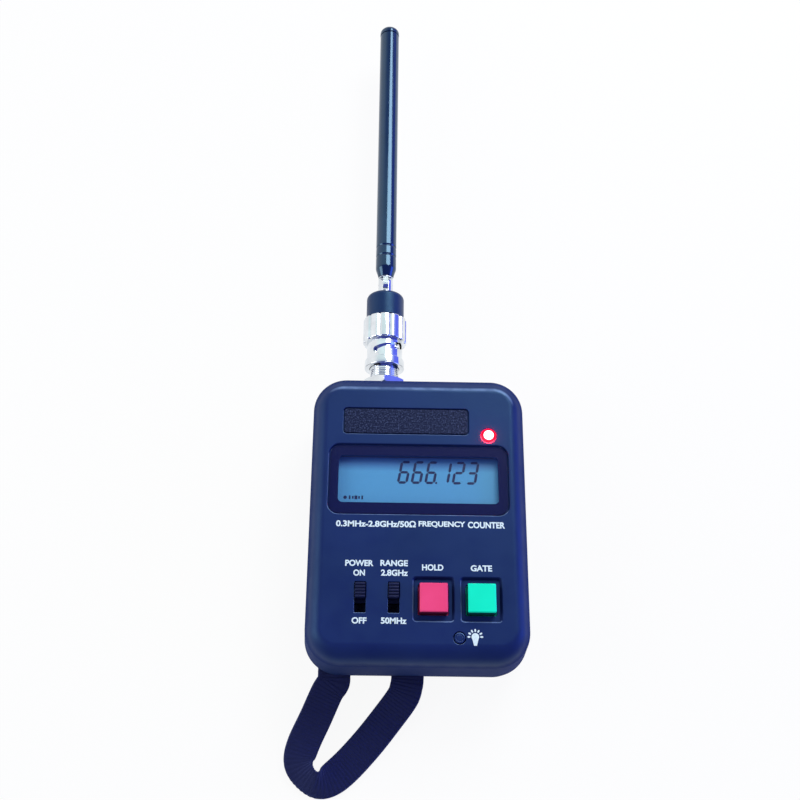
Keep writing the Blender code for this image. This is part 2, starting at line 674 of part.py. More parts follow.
def rear_shell():
    lip_inset = CASE_WALL * LIP_WALL_SHARE + LIP_GAP
    top = PARTING_HEIGHT - SEAT_GAP / 2
    lip_top = top + LIP_HEIGHT
    outer = back_profile(0) + [(0, top), (lip_inset, top), (lip_inset, lip_top)]
    inner = [(CASE_WALL, lip_top)] + list(reversed(back_profile(CASE_WALL)))
    rings = [case_ring(*point) for point in outer + inner]
    shell = lofted("rear_shell", rings, BLACK_PLASTIC)
    for number, place in enumerate(screw_places(), 1):
        join(shell, rod(f"post_{number}", POST_RADIUS, CASE_WALL / 2, top, "Z", upright(place)))
    y, z = bar_place()
    for number, x in enumerate(bar_holder_places(), 1):
        low = (x - BAR_HOLDER / 2, y - BAR_HOLDER_WIDTH / 2, CASE_WALL / 2)
        high = (x + BAR_HOLDER / 2, y + BAR_HOLDER_WIDTH / 2, top - SEAT_GAP)
        join(shell, box(f"bar_holder_{number}", low, high))
    start, end = bar_ends()
    bore = BAR_RADIUS + RUN_GAP
    cut(shell, rod("bar_hole", bore, start - SEAT_GAP, end + SEAT_GAP, "X", (0, y, z), sides=TINY_SIDES))
    shank = SCREW_SHANK_RADIUS + RUN_GAP * 2
    head = SCREW_HEAD_RADIUS + SEAT_GAP
    seat = SCREW_HEAD_SINK + SCREW_HEAD_HEIGHT + SEAT_GAP
    low, high = -OVERRUN, PARTING_HEIGHT + OVERRUN
    for number, place in enumerate(screw_places(), 1):
        cut(shell, rod(f"post_hole_{number}", shank, low, high, "Z", upright(place), sides=TINY_SIDES))
        cut(shell, rod(f"counterbore_{number}", head, low, seat, "Z", upright(place)))
    slot_end = -HALF_LENGTH + PLAN_RADIUS / 2
    half = STRAP_THICKNESS / 2 + STRAP_SLOT_GAP
    wide, narrow = STRAP_WIDTH / 2 + STRAP_SLOT_GAP, STRAP_WIDTH / 2 + RUN_GAP
    for side, x in strap_slot_places().items():
        low = (x - wide, -HALF_LENGTH - OVERRUN, STRAP_HEIGHT - half)
        high = (x + wide, slot_end, STRAP_HEIGHT + half)
        cut(shell, box(f"strap_slot_{side}", low, high))
        low = (x - narrow, slot_end - OVERRUN, STRAP_HEIGHT - half)
        high = (x + narrow, y, z + BAR_RADIUS + SEAT_GAP + STRAP_THICKNESS + STRAP_SLOT_GAP)
        cut(shell, box(f"strap_way_{side}", low, high))
    return cut(shell, jack_hole("lip_jack_notch"), socket_hole("lip_socket_notch"))


def case_screws():
    seat = SCREW_HEAD_SINK + SCREW_HEAD_HEIGHT
    tip = PARTING_HEIGHT + SCREW_BITE
    profile = [(0, SCREW_HEAD_SINK), (SCREW_HEAD_RADIUS, SCREW_HEAD_SINK), (SCREW_HEAD_RADIUS, seat)]
    profile += [(SCREW_SHANK_RADIUS, seat), (SCREW_SHANK_RADIUS, tip), (0, tip)]
    for number, place in enumerate(screw_places(), 1):
        screw = turned(f"case_screw_{number}", profile, TINY_SIDES, "Z", upright(place), STEEL)
        cross_slot(screw, f"case_screw_slot_{number}", place, SCREW_HEAD_RADIUS, SCREW_HEAD_SINK)


def cross_slot(screw, name, place, radius, under):
    """Two crossed grooves in a screw's head."""
    for turn, size in enumerate(((radius, SCREW_SLOT), (SCREW_SLOT, radius))):
        cut(screw, centred_box(f"{name}_{turn}", place, size, under - OVERRUN, under + SCREW_SLOT))


def board_screws():
    under = BOARD_BOTTOM - SEAT_GAP - BOARD_SCREW_HEAD_HEIGHT
    seat = BOARD_BOTTOM - SEAT_GAP
    tip = ON_BOARD + BOARD_SCREW_BITE
    profile = [(0, under), (BOARD_SCREW_HEAD, under), (BOARD_SCREW_HEAD, seat), (BOARD_SCREW_SHANK, seat)]
    profile += [(BOARD_SCREW_SHANK, tip), (0, tip)]
    for number, place in enumerate(board_post_places(), 1):
        turned(f"board_screw_{number}", profile, TINY_SIDES, "Z", upright(place), STEEL)


def main_board():
    inset = CASE_WALL + BOARD_EDGE_GAP
    outline = case_ring(inset, BOARD_BOTTOM)
    raised = [(x, y, BOARD_TOP) for x, y, _ in outline]
    board = lofted("main_board", [outline, raised], BOARD)
    low, high = BOARD_BOTTOM - OVERRUN, BOARD_TOP + OVERRUN
    for number, place in enumerate(screw_places(), 1):
        cut(board, rod(f"board_boss_hole_{number}", BOSS_RADIUS + SEAT_GAP, low, high, "Z", upright(place)))
    for number, place in enumerate(board_post_places(), 1):
        hole = BOARD_SCREW_SHANK + RUN_GAP * 2
        cut(board, rod(f"board_screw_hole_{number}", hole, low, high, "Z", upright(place), sides=TINY_SIDES))
    half = JACK_FLANGE_RADIUS + SEAT_GAP * 2
    notch_low = (AXIS_X - half, jack_back() - SEAT_GAP * 2, low)
    cut(board, box("jack_notch", notch_low, (AXIS_X + half, HALF_LENGTH, high)))
    wire = CONTACT_WIRE + SEAT_GAP
    cut(board, rod("contact_hole", wire, low, high, "Z", (AXIS_X, contact_wire_y(), 0), sides=TINY_SIDES))
    return board


def shield_place():
    return (AXIS_X, jack_back() - SEAT_GAP * 3 - SHIELD_LENGTH / 2)


def board_pieces():
    place = shield_place()
    top = ON_BOARD + SHIELD_HEIGHT
    shield = centred_box("rf_shield", place, (SHIELD_WIDTH, SHIELD_LENGTH), ON_BOARD, top, STEEL)
    hollow = (SHIELD_WIDTH - 2 * SHIELD_WALL, SHIELD_LENGTH - 2 * SHIELD_WALL)
    cut(shield, centred_box("shield_hollow", place, hollow, BOARD_TOP, top - SHIELD_WALL))
    width, length, height = PRESCALER_SIZE
    inner_place = (place[0], place[1] - PRESCALER_INSET)
    centred_box("prescaler_chip", inner_place, (width, length), ON_BOARD, ON_BOARD + height, CHIP)
    for name, size, shares, finish in (
        ("counter_chip", COUNTER_SIZE, COUNTER_PLACE_SHARES, CHIP),
        ("reference_crystal", CRYSTAL_SIZE, CRYSTAL_PLACE_SHARES, STEEL),
    ):
        width, length, height = size
        centred_box(name, panel_place(shares), (width, length), ON_BOARD, ON_BOARD + height, finish)


def cells():
    radius = CELL_DIAMETER / 2
    length = CELL_LENGTH - CELL_TERMINAL_HEIGHT
    pitch = CELL_DIAMETER + CELL_GAP
    start = -SCREW_Y + POST_RADIUS + SEAT_GAP
    height = CASE_WALL + SEAT_GAP + radius
    for number in range(CELL_COUNT):
        x = (number - (CELL_COUNT - 1) / 2) * pitch
        up = number % 2 == 0
        base = start if up else start + CELL_LENGTH
        way = 1 if up else -1
        profile = [(0, 0), (radius - CELL_EDGE, 0), (radius, CELL_EDGE), (radius, length - CELL_EDGE)]
        profile += [(radius - CELL_EDGE, length), (CELL_TERMINAL_RADIUS, length)]
        profile += [(CELL_TERMINAL_RADIUS, CELL_LENGTH), (0, CELL_LENGTH)]
        profile = [(r, way * along) for r, along in profile]
        turned(f"battery_cell_{number + 1}", profile, ROUND_SIDES, "Y", (x, base, height), CELL)


def charging_socket():
    x, z = socket_place()
    front = HALF_LENGTH - CASE_WALL - SEAT_GAP
    low = (x - SOCKET_WIDTH / 2, front - SOCKET_DEPTH, z - SOCKET_HEIGHT / 2)
    high = (x + SOCKET_WIDTH / 2, front, z + SOCKET_HEIGHT / 2)
    socket = box("charging_socket", low, high, BLACK_PLASTIC)
    floor = front - SOCKET_BORE_DEPTH
    bore = [(SOCKET_PIN_RADIUS, floor), (SOCKET_BORE, floor), (SOCKET_BORE, front + OVERRUN)]
    bore += [(SOCKET_PIN_RADIUS, front + OVERRUN)]
    return cut(socket, turned("socket_bore", bore, SMALL_SIDES, "Y", (x, 0, z), tube=True))


def display():
    low = CASE_THICKNESS - WINDOW_RECESS + SEAT_GAP
    high = low + WINDOW_PLATE
    width, length = WINDOW_WIDTH - 2 * SEAT_GAP, WINDOW_LENGTH - 2 * SEAT_GAP
    corner = WINDOW_CORNER - SEAT_GAP
    plate("display_window", width, length, corner, low, high, (0, WINDOW_Y), CLEAR)
    glass_width = VIEW_WIDTH + 2 * GLASS_BORDER
    glass_length = VIEW_LENGTH + 2 * GLASS_BORDER
    glass_top = UNDER_PANEL - BEZEL_LIP - SEAT_GAP
    glass_bottom = glass_top - GLASS_THICKNESS
    centre = (0, VIEW_Y)
    centred_box("lcd_glass", centre, (glass_width, glass_length), glass_bottom, glass_top, GLASS)
    outer = (glass_width + 2 * (BEZEL_WALL + SEAT_GAP), glass_length + 2 * (BEZEL_WALL + SEAT_GAP))
    hollow = (glass_width + 2 * SEAT_GAP, glass_length + 2 * SEAT_GAP)
    bezel = centred_box("lcd_bezel", centre, outer, ON_BOARD, UNDER_PANEL, BLACK_PLASTIC)
    cut(bezel, centred_box("bezel_hollow", centre, hollow, BOARD_TOP, UNDER_PANEL - BEZEL_LIP))
    cut(bezel, centred_box("bezel_opening", centre, (VIEW_WIDTH, VIEW_LENGTH), BOARD_TOP, CASE_THICKNESS))
    near = VIEW_Y - glass_length / 2
    under_glass = glass_bottom - SEAT_GAP
    light_low = (-glass_width / 2, near + ZEBRA_WIDTH + SEAT_GAP, under_glass - BACKLIGHT_THICKNESS)
    light_high = (glass_width / 2, VIEW_Y + glass_length / 2, under_glass)
    box("lcd_backlight", light_low, light_high, BACKLIGHT)
    zebra_low = (-VIEW_WIDTH / 2, near, ON_BOARD)
    box("zebra_strip", zebra_low, (VIEW_WIDTH / 2, near + ZEBRA_WIDTH, under_glass), RUBBER)


def nameplate():
    low = CASE_THICKNESS - PLATE_RECESS + SEAT_GAP
    high = low + PLATE_THICKNESS
    plate("nameplate", PLATE_WIDTH, PLATE_LENGTH, PLATE_CORNER, low, high, PLATE_PLACE, NAMEPLATE)


def gate_led():
    base = UNDER_PANEL - LED_FLANGE
    crown = CASE_THICKNESS + LED_RISE
    wide = LED_RADIUS + LED_FLANGE
    bottom = CASE_THICKNESS - LED_BODY_DEPTH
    profile = [(0, bottom), (wide, bottom), (wide, base + LED_FLANGE), (LED_RADIUS, base + LED_FLANGE)]
    for step in range(TIP_STEPS):
        angle = math.pi / 2 * step / TIP_STEPS
        profile.append((LED_RADIUS * math.cos(angle), crown - LED_RADIUS * (1 - math.sin(angle))))
    profile.append((0, crown))
    led = turned("gate_led", profile, SMALL_SIDES, "Z", upright(LED_PLACE), LED_RED)
    for side in (-1, 1):
        lead_place = (LED_PLACE[0] + side * LED_LEAD_SPACING / 2, LED_PLACE[1])
        top = bottom + LED_FLANGE
        join(led, centred_box(f"led_lead_{side}", lead_place, (LED_LEAD, LED_LEAD), ON_BOARD, top))
    return led


def slide_switches():
    top = ON_BOARD + SLIDE_BODY_HEIGHT
    floor = top - SLIDE_BODY_SLOT_DEPTH
    crown = CASE_THICKNESS + KNOB_RISE
    flange_low = UNDER_PANEL - KNOB_FLANGE
    body_size = (SLIDE_BODY_WIDTH, SLIDE_BODY_LENGTH)
    slot = (KNOB_STEM + 2 * STEM_SIDE_GAP, KNOB_LENGTH + KNOB_TRAVEL + 2 * SEAT_GAP)
    shape = (SLOT_WIDTH - 2 * STEM_SIDE_GAP, KNOB_LENGTH)
    flange = (SLIDE_BODY_WIDTH, KNOB_LENGTH + 2 * KNOB_FLANGE)
    stem = (KNOB_STEM, KNOB_LENGTH)
    groove = (SLOT_WIDTH, KNOB_RIB)
    pitch = KNOB_LENGTH / (KNOB_RIBS + 1)
    for name, (x, y) in slide_switch_places().items():
        body = centred_box(f"{name}_switch_body", (x, y), body_size, ON_BOARD, top, STEEL)
        cut(body, centred_box(f"{name}_body_slot", (x, y), slot, floor, top + OVERRUN))
        place = (x, y + KNOB_TRAVEL / 2)
        knob = centred_box(f"{name}_knob", place, shape, flange_low, crown, BLACK_PLASTIC, upright(place))
        join(knob, centred_box(f"{name}_flange", place, flange, flange_low, UNDER_PANEL))
        stem_top = UNDER_PANEL - KNOB_FLANGE / 2
        join(knob, centred_box(f"{name}_stem", place, stem, floor + SEAT_GAP, stem_top))
        for rib in range(KNOB_RIBS):
            groove_place = (x, place[1] + (rib - (KNOB_RIBS - 1) / 2) * pitch)
            groove_low = crown - KNOB_RIB
            cut(knob, centred_box(f"{name}_groove_{rib}", groove_place, groove, groove_low, crown + OVERRUN))


def push_buttons():
    finishes = {"hold": RED_PLASTIC, "gate": GREEN_PLASTIC}
    top = ON_BOARD + PRESS_BODY_HEIGHT
    floor = top - PRESS_SOCKET_DEPTH
    hole = BUTTON_STEM + 2 * STEM_SIDE_GAP
    wide = BUTTON_SIZE + 2 * BUTTON_FLANGE
    crown = CASE_THICKNESS + BUTTON_RISE
    flange_low = UNDER_PANEL - BUTTON_FLANGE
    stem_low, stem_high = floor + BUTTON_TRAVEL + SEAT_GAP, flange_low + BUTTON_FLANGE / 2
    levels = ((0, flange_low), (0, crown - BUTTON_EDGE), (BUTTON_EDGE, crown))
    body_size = (PRESS_BODY_SIZE, PRESS_BODY_SIZE)
    for name, (x, y) in press_button_places().items():
        body = centred_box(f"{name}_switch_body", (x, y), body_size, ON_BOARD, top, CHIP)
        cut(body, centred_box(f"{name}_socket", (x, y), (hole, hole), floor, top + OVERRUN))
        rings = []
        for inset, height in levels:
            size = BUTTON_SIZE - 2 * inset
            corner = VIEW_CORNER * (BUTTON_SIZE - inset) / BUTTON_SIZE
            rings.append([(px, py, height) for px, py in rounded_outline(size, size, corner, 2, (x, y))])
        cap = lofted(f"{name}_button", rings, finishes[name], origin=(x, y, 0))
        join(cap, centred_box(f"{name}_cap_flange", (x, y), (wide, wide), flange_low, UNDER_PANEL))
        stem_size = (BUTTON_STEM, BUTTON_STEM)
        join(cap, centred_box(f"{name}_cap_stem", (x, y), stem_size, stem_low, stem_high))


def lamp_button():
    place = panel_place(LAMP_PLACE_SHARES)
    top = ON_BOARD + LAMP_BODY_HEIGHT
    body = centred_box("lamp_switch_body", place, (LAMP_BODY_SIZE, LAMP_BODY_SIZE), ON_BOARD, top, CHIP)
    floor = top - LAMP_SOCKET_DEPTH
    cut(body, rod("lamp_socket", LAMP_STEM + STEM_SIDE_GAP, floor, top + OVERRUN, "Z", upright(place)))
    crown = CASE_THICKNESS + LAMP_RISE
    flange_low = UNDER_PANEL - LAMP_FLANGE
    wide = LAMP_RADIUS + LAMP_FLANGE
    foot = floor + LAMP_TRAVEL + SEAT_GAP
    profile = [(0, foot), (LAMP_STEM, foot), (LAMP_STEM, flange_low), (wide, flange_low), (wide, UNDER_PANEL)]
    profile += [(LAMP_RADIUS, UNDER_PANEL), (LAMP_RADIUS, crown), (0, crown)]
    turned("lamp_button", profile, SMALL_SIDES, "Z", upright(place), BLACK_PLASTIC)


def jack_back():
    """Where the metal body of the jack ends inside the case."""
    return HALF_LENGTH - CASE_WALL - SEAT_GAP - JACK_FLANGE_LENGTH


def contact_wire_y():
    return jack_back() - JACK_TAIL + CONTACT_WIRE


def lug_cutter_rod(name, y, angle, radius, inner, outer, sides=TINY_SIDES):
    """A rod that points away from the antenna's axis, at this angle from +Z towards +X."""
    rod_piece = rod(name, radius, inner, outer, "Z", (0, 0, 0), sides=sides)
    rod_piece.matrix_world = Matrix.Translation(on_axis(y)) @ Matrix.Rotation(angle, 4, "Y")
    return rod_piece


def bayonet_jack():
    flange_front = HALF_LENGTH - CASE_WALL - SEAT_GAP
    mouth = JACK_FACE - JACK_MOUTH_DEPTH
    thread_end = NUT_FRONT - SEAT_GAP * 2
    profile = [
        (JACK_BORE, jack_back()),
        (JACK_FLANGE_RADIUS, jack_back()),
        (JACK_FLANGE_RADIUS, flange_front),
        (JACK_THREAD_RADIUS, flange_front),
        (JACK_THREAD_RADIUS, thread_end),
        (JACK_SLEEVE_RADIUS, thread_end + RUN_GAP),
        (JACK_SLEEVE_RADIUS, JACK_FACE),
        (JACK_MOUTH_RADIUS, JACK_FACE),
        (JACK_MOUTH_RADIUS, mouth),
        (JACK_BORE, mouth),
    ]
    jack = turned("jack_body", profile, FINE_SIDES, "Y", on_axis(0), CHROME, tube=True)
    middle = (JACK_MOUTH_RADIUS + JACK_SLEEVE_RADIUS) / 2
    for side in (0, 1):
        angle = math.radians(LUG_DEGREES) + math.pi * side
        join(jack, lug_cutter_rod(f"lug_{side}", LUG_Y, angle, LUG_RADIUS, middle, LUG_REACH))
    washer_start = HALF_LENGTH + SEAT_GAP
    hole = JACK_THREAD_RADIUS + RUN_GAP
    washer_end = washer_start + JACK_WASHER_THICKNESS
    ring = [(hole, washer_start), (JACK_WASHER_RADIUS, washer_start)]
    ring += [(JACK_WASHER_RADIUS, washer_end), (hole, washer_end)]
    turned("jack_washer", ring, ROUND_SIDES, "Y", on_axis(0), STEEL, tube=True)
    nut_start = washer_end + SEAT_GAP
    nut_end = nut_start + JACK_NUT_LENGTH
    corner = JACK_NUT_FLATS / 2 / math.cos(math.pi / 6)
    hexagon = rod("jack_nut", corner, nut_start, nut_end, "Y", on_axis(0), CHROME, sides=6)
    cut(hexagon, rod("jack_nut_hole", hole, HALF_LENGTH, NUT_FRONT, "Y", on_axis(0), sides=ROUND_SIDES))
    contact_pieces()
    return jack


def contact_pieces():
    """The white insulator in the jack, and its socket contact, whose wire turns up through the board."""
    tail = jack_back() - JACK_TAIL + 2 * CONTACT_WIRE + SEAT_GAP
    front = JACK_FACE - JACK_MOUTH_DEPTH / 2
    hole = CONTACT_RADIUS + RUN_GAP
    ring = [(hole, tail), (INSULATOR_RADIUS, tail), (INSULATOR_RADIUS, front), (hole, front)]
    turned("jack_insulator", ring, SMALL_SIDES, "Y", on_axis(0), WHITE_PLASTIC, tube=True)
    face = front - CONTACT_RECESS
    bore = PLUG_PIN_RADIUS + RUN_GAP
    bore_floor = face - CONTACT_BORE_DEPTH
    back = tail - SEAT_GAP
    profile = [(0, back), (CONTACT_RADIUS, back), (CONTACT_RADIUS, face)]
    profile += [(bore, face), (bore, bore_floor), (0, bore_floor)]
    contact = turned("jack_contact", profile, SMALL_SIDES, "Y", on_axis(0), GOLD)
    y = contact_wire_y()
    in_contact = back + SEAT_GAP
    join(contact, rod("contact_wire_back", CONTACT_WIRE, y, in_contact, "Y", on_axis(0), sides=TINY_SIDES))
    low, high = AXIS_Z - CONTACT_WIRE, ON_BOARD + CONTACT_WIRE
    join(contact, rod("contact_wire_up", CONTACT_WIRE, low, high, "Z", (AXIS_X, y, 0), sides=TINY_SIDES))


def fluted_outline(radius, depth, flutes, steps=4):
    points = []
    count = flutes * steps
    for i in range(count):
        angle = 2 * math.pi * i / count
        dip = depth * (0.5 - 0.5 * math.cos(flutes * angle))
        points.append(((radius - dip) * math.cos(angle), (radius - dip) * math.sin(angle)))
    return points


def coupling_nut():
    """The bayonet's outer nut. Its two tracks climb away from the lugs as it is turned to unlock."""
    overlap = NUT_RIM_LENGTH / 4
    barrel = [(0, NUT_FRONT), (NUT_RIM_RADIUS, NUT_FRONT), (NUT_RIM_RADIUS, NUT_BARREL_START)]
    barrel += [(NUT_BARREL_RADIUS, NUT_BARREL_START), (NUT_BARREL_RADIUS, NUT_RING_START + overlap)]
    barrel += [(0, NUT_RING_START + overlap)]
    nut = turned("coupling_nut", barrel, FINE_SIDES, "Y", on_axis(0), CHROME)
    edge = NUT_FLUTE_DEPTH * 2
    rings = []
    for inset, along in ((edge, 0), (0, edge), (0, NUT_RING_LENGTH - edge), (edge, NUT_RING_LENGTH)):
        outline = fluted_outline(NUT_RING_RADIUS - inset, NUT_FLUTE_DEPTH, NUT_FLUTES)
        rings.append([(AXIS_X + x, NUT_RING_START + along, AXIS_Z + z) for x, z in outline])
    join(nut, lofted("nut_ring", rings))
    chamber_start, chamber_end = chamber_span()
    sleeve = JACK_SLEEVE_RADIUS + NUT_SLEEVE_GAP
    chamber = WASHER_RADIUS + RUN_GAP * 2
    neck = PLUG_NECK_RADIUS + RUN_GAP
    bore = [(0, NUT_FRONT - OVERRUN), (sleeve, NUT_FRONT - OVERRUN), (sleeve, chamber_start)]
    bore += [(chamber, chamber_start), (chamber, chamber_end), (neck, chamber_end)]
    bore += [(neck, NUT_BACK + OVERRUN), (0, NUT_BACK + OVERRUN)]
    cut(nut, turned("nut_bore", bore, FINE_SIDES, "Y", on_axis(0)))
    for side in (0, 1):
        cut(nut, *track_cutters(side))
    return nut


def chamber_span():
    """The room inside the nut that holds the plug's flange and the wave washer."""
    return JACK_FACE + SEAT_GAP, NUT_BACK - NUT_LIP_LENGTH


def track_cutters(side):
    """A helical track from the locked lug to where the lug leaves it, and the straight groove out."""
    half = LUG_RADIUS + TRACK_GAP
    inner = (JACK_MOUTH_RADIUS + JACK_SLEEVE_RADIUS) / 2
    through = NUT_BARREL_RADIUS + OVERRUN
    start = math.radians(LUG_DEGREES) + math.pi * side
    turn = math.radians(NUT_TURN_DEGREES)
    rings = []
    for step in range(TRACK_STEPS + 1):
        share = step / TRACK_STEPS
        angle = start - turn * share
        y = LUG_Y - NUT_LEAD * share
        across = Vector((math.sin(angle), 0, math.cos(angle)))
        corners = ((inner, -half), (through, -half), (through, half), (inner, half))
        rings.append([Vector(on_axis(y + rise)) + across * radius for radius, rise in corners])
    helix = lofted(f"track_{side}", rings)
    free_y = LUG_Y - NUT_LEAD
    locked = lug_cutter_rod(f"track_end_{side}", LUG_Y, start, half, inner, through, SMALL_SIDES)
    free = lug_cutter_rod(f"track_turn_{side}", free_y, start - turn, half, inner, through, SMALL_SIDES)
    groove_top = LUG_REACH + TRACK_GAP
    low, high = (-half, NUT_FRONT - OVERRUN, inner), (half, free_y, groove_top)
    groove = box(f"track_way_out_{side}", low, high)
    groove.matrix_world = Matrix.Translation((AXIS_X, 0, AXIS_Z)) @ Matrix.Rotation(start - turn, 4, "Y")
    return helix, locked, free, groove


def wave_washer():
    """A thin spring ring whose height rises and falls round its circle."""
    _, chamber_end = chamber_span()
    middle = chamber_end - SEAT_GAP - WASHER_WAVE - WASHER_THICKNESS / 2
    rings = []
    for step in range(WASHER_STEPS):
        angle = 2 * math.pi * step / WASHER_STEPS
        y = middle + WASHER_WAVE * math.cos(WASHER_WAVES * angle)
        across = Vector((math.sin(angle), 0, math.cos(angle)))
        inner = PLUG_NECK_RADIUS + RUN_GAP
        half = WASHER_THICKNESS / 2
        corners = ((inner, -half), (WASHER_RADIUS, -half), (WASHER_RADIUS, half), (inner, half))
        rings.append([Vector(on_axis(y + rise)) + across * radius for radius, rise in corners])
    return lofted("wave_washer", rings, STEEL, closed=True)


def plug():
    _, chamber_end = chamber_span()
    flange_end = chamber_end - 2 * SEAT_GAP - 2 * WASHER_WAVE - WASHER_THICKNESS
    flange_start = flange_end - PLUG_FLANGE_LENGTH
    sleeve_start = JACK_FACE - PLUG_SLEEVE_LENGTH
    sleeve_bore = PLUG_SLEEVE_RADIUS - PLUG_SLEEVE_WALL
    bore = INSULATOR_RADIUS + RUN_GAP
    insulator_front = JACK_FACE - JACK_MOUTH_DEPTH / 2 + SEAT_GAP
    neck_end = COLLAR_FRONT + PLUG_NECK_IN_COLLAR
    profile = [
        (sleeve_bore, sleeve_start),
        (PLUG_SLEEVE_RADIUS, sleeve_start),
        (PLUG_SLEEVE_RADIUS, flange_start),
        (PLUG_FLANGE_RADIUS, flange_start),
        (PLUG_FLANGE_RADIUS, flange_end),
        (PLUG_NECK_RADIUS, flange_end),
        (PLUG_NECK_RADIUS, neck_end),
        (bore, neck_end),
        (bore, flange_start),
        (sleeve_bore, flange_start),
    ]
    turned("plug_body", profile, FINE_SIDES, "Y", on_axis(0), CHROME, tube=True)
    hole = PLUG_PIN_RADIUS + RUN_GAP
    ring = [(hole, insulator_front), (INSULATOR_RADIUS, insulator_front)]
    ring += [(INSULATOR_RADIUS, neck_end), (hole, neck_end)]
    turned("plug_insulator", ring, SMALL_SIDES, "Y", on_axis(0), WHITE_PLASTIC, tube=True)
    pin_start = insulator_front - CONTACT_RECESS - PLUG_PIN_LENGTH
    rod("plug_pin", PLUG_PIN_RADIUS, pin_start, neck_end, "Y", on_axis(0), GOLD, TINY_SIDES)


def collar():
    shoulder = COLLAR_BACK - COLLAR_SHOULDER
    profile = [(0, COLLAR_FRONT), (COLLAR_RADIUS, COLLAR_FRONT)]
    for step in range(COLLAR_STEPS + 1):
        angle = math.pi / 2 * step / COLLAR_STEPS
        radius = COLLAR_TOP_RADIUS + (COLLAR_RADIUS - COLLAR_TOP_RADIUS) * math.cos(angle)
        profile.append((radius, shoulder + COLLAR_SHOULDER * math.sin(angle)))
    profile.append((0, COLLAR_BACK))
    piece = turned("antenna_collar", profile, FINE_SIDES, "Y", on_axis(0), BLACK_PLASTIC)
    seat = COLLAR_FRONT + PLUG_NECK_IN_COLLAR + SEAT_GAP
    neck = PLUG_NECK_RADIUS + RUN_GAP
    cut(piece, rod("collar_bore", neck, COLLAR_FRONT - OVERRUN, seat, "Y", on_axis(0), sides=ROUND_SIDES))
    root = FORK_RADIUS + RUN_GAP
    start = COLLAR_BACK - FORK_ROOT - SEAT_GAP
    cut(piece, rod("fork_seat", root, start, COLLAR_BACK + OVERRUN, "Y", on_axis(0), sides=ROUND_SIDES))
    return piece


def elbow():
    """A fork on the collar, a tang in the antenna's foot, and the pin that joins them."""
    root = COLLAR_BACK - FORK_ROOT
    fork = rod("elbow_fork", FORK_RADIUS, root, ELBOW_Y, "Y", on_axis(0), CHROME, ROUND_SIDES)
    pivot = on_axis(ELBOW_Y)
    join(fork, rod("fork_crown", FORK_RADIUS, -FORK_RADIUS, FORK_RADIUS, "X", pivot, sides=ROUND_SIDES))
    skin = [(FORK_RADIUS, root - OVERRUN), (2 * FORK_RADIUS, root - OVERRUN)]
    skin += [(2 * FORK_RADIUS, TUBE_BACK), (FORK_RADIUS, TUBE_BACK)]
    cut(fork, turned("fork_skin", skin, ROUND_SIDES, "Y", on_axis(0), tube=True))
    slot_floor = ELBOW_Y - TANG_ROUND - SEAT_GAP
    low = (AXIS_X - FORK_SLOT / 2, slot_floor, AXIS_Z - 2 * FORK_RADIUS)
    high = (AXIS_X + FORK_SLOT / 2, ELBOW_Y + 2 * FORK_RADIUS, AXIS_Z + 2 * FORK_RADIUS)
    cut(fork, box("fork_slot", low, high))
    hole = ELBOW_PIN_RADIUS + RUN_GAP / 2
    cut(fork, rod("fork_pin_hole", hole, -2 * FORK_RADIUS, 2 * FORK_RADIUS, "X", pivot))
    reach = FORK_RADIUS * math.cos(math.asin(ELBOW_PIN_RADIUS / FORK_RADIUS)) - RUN_GAP
    rod("elbow_pin", ELBOW_PIN_RADIUS, -reach, reach, "X", pivot, STEEL)
    half = FORK_SLOT / 2 - RUN_GAP
    tang = rod("elbow_tang", TANG_ROUND, -half, half, "X", pivot, CHROME, ROUND_SIDES)
    start = ELBOW_Y + TANG_COLLAR_START
    stub_end = start + TANG_PLUG_LENGTH
    seat = TUBE_FRONT - SEAT_GAP / 2
    web = TANG_ROUND * math.cos(math.pi / ROUND_SIDES)
    low = (AXIS_X - half, ELBOW_Y, AXIS_Z - web)
    high = (AXIS_X + half, start + SEAT_GAP / 2, AXIS_Z + web)
    join(tang, box("tang_web", low, high))
    inside = TUBE_FOOT_RADIUS - TUBE_FOOT_WALL - RUN_GAP
    stub = [(0, start), (TUBE_FOOT_RADIUS, start), (TUBE_FOOT_RADIUS, seat), (inside, seat)]
    stub += [(inside, stub_end), (0, stub_end)]
    join(tang, turned("tang_stub", stub, ROUND_SIDES, "Y", on_axis(0)))
    cut(tang, rod("tang_pin_hole", hole, -FORK_SLOT, FORK_SLOT, "X", pivot))


def tube_radius(number):
    return TUBE_RADIUS - (number - 1) * (TUBE_WALL + RUN_GAP)


def outer_tube():
    """The black tube, with a tapered foot and two crimped rings."""
    foot_bore = TUBE_FOOT_RADIUS - TUBE_FOOT_WALL
    bore = TUBE_RADIUS - TUBE_WALL
    taper_end = TUBE_FRONT + TUBE_TAPER
    profile = [(foot_bore, TUBE_FRONT), (TUBE_FOOT_RADIUS, TUBE_FRONT), (TUBE_RADIUS, taper_end)]
    for rise in CRIMP_RISES:
        middle = TUBE_FRONT + rise
        profile.append((TUBE_RADIUS, middle - CRIMP_WIDTH / 2))
        profile.append((TUBE_RADIUS - CRIMP_DEPTH, middle))
        profile.append((TUBE_RADIUS, middle + CRIMP_WIDTH / 2))
    profile += [(TUBE_RADIUS, TUBE_BACK), (bore, TUBE_BACK), (bore, taper_end + TUBE_WALL)]
    profile.append((foot_bore, taper_end - TUBE_WALL))
    turned("antenna_tube_1", profile, ROUND_SIDES, "Y", on_axis(0), BLACK_GLOSS, tube=True)


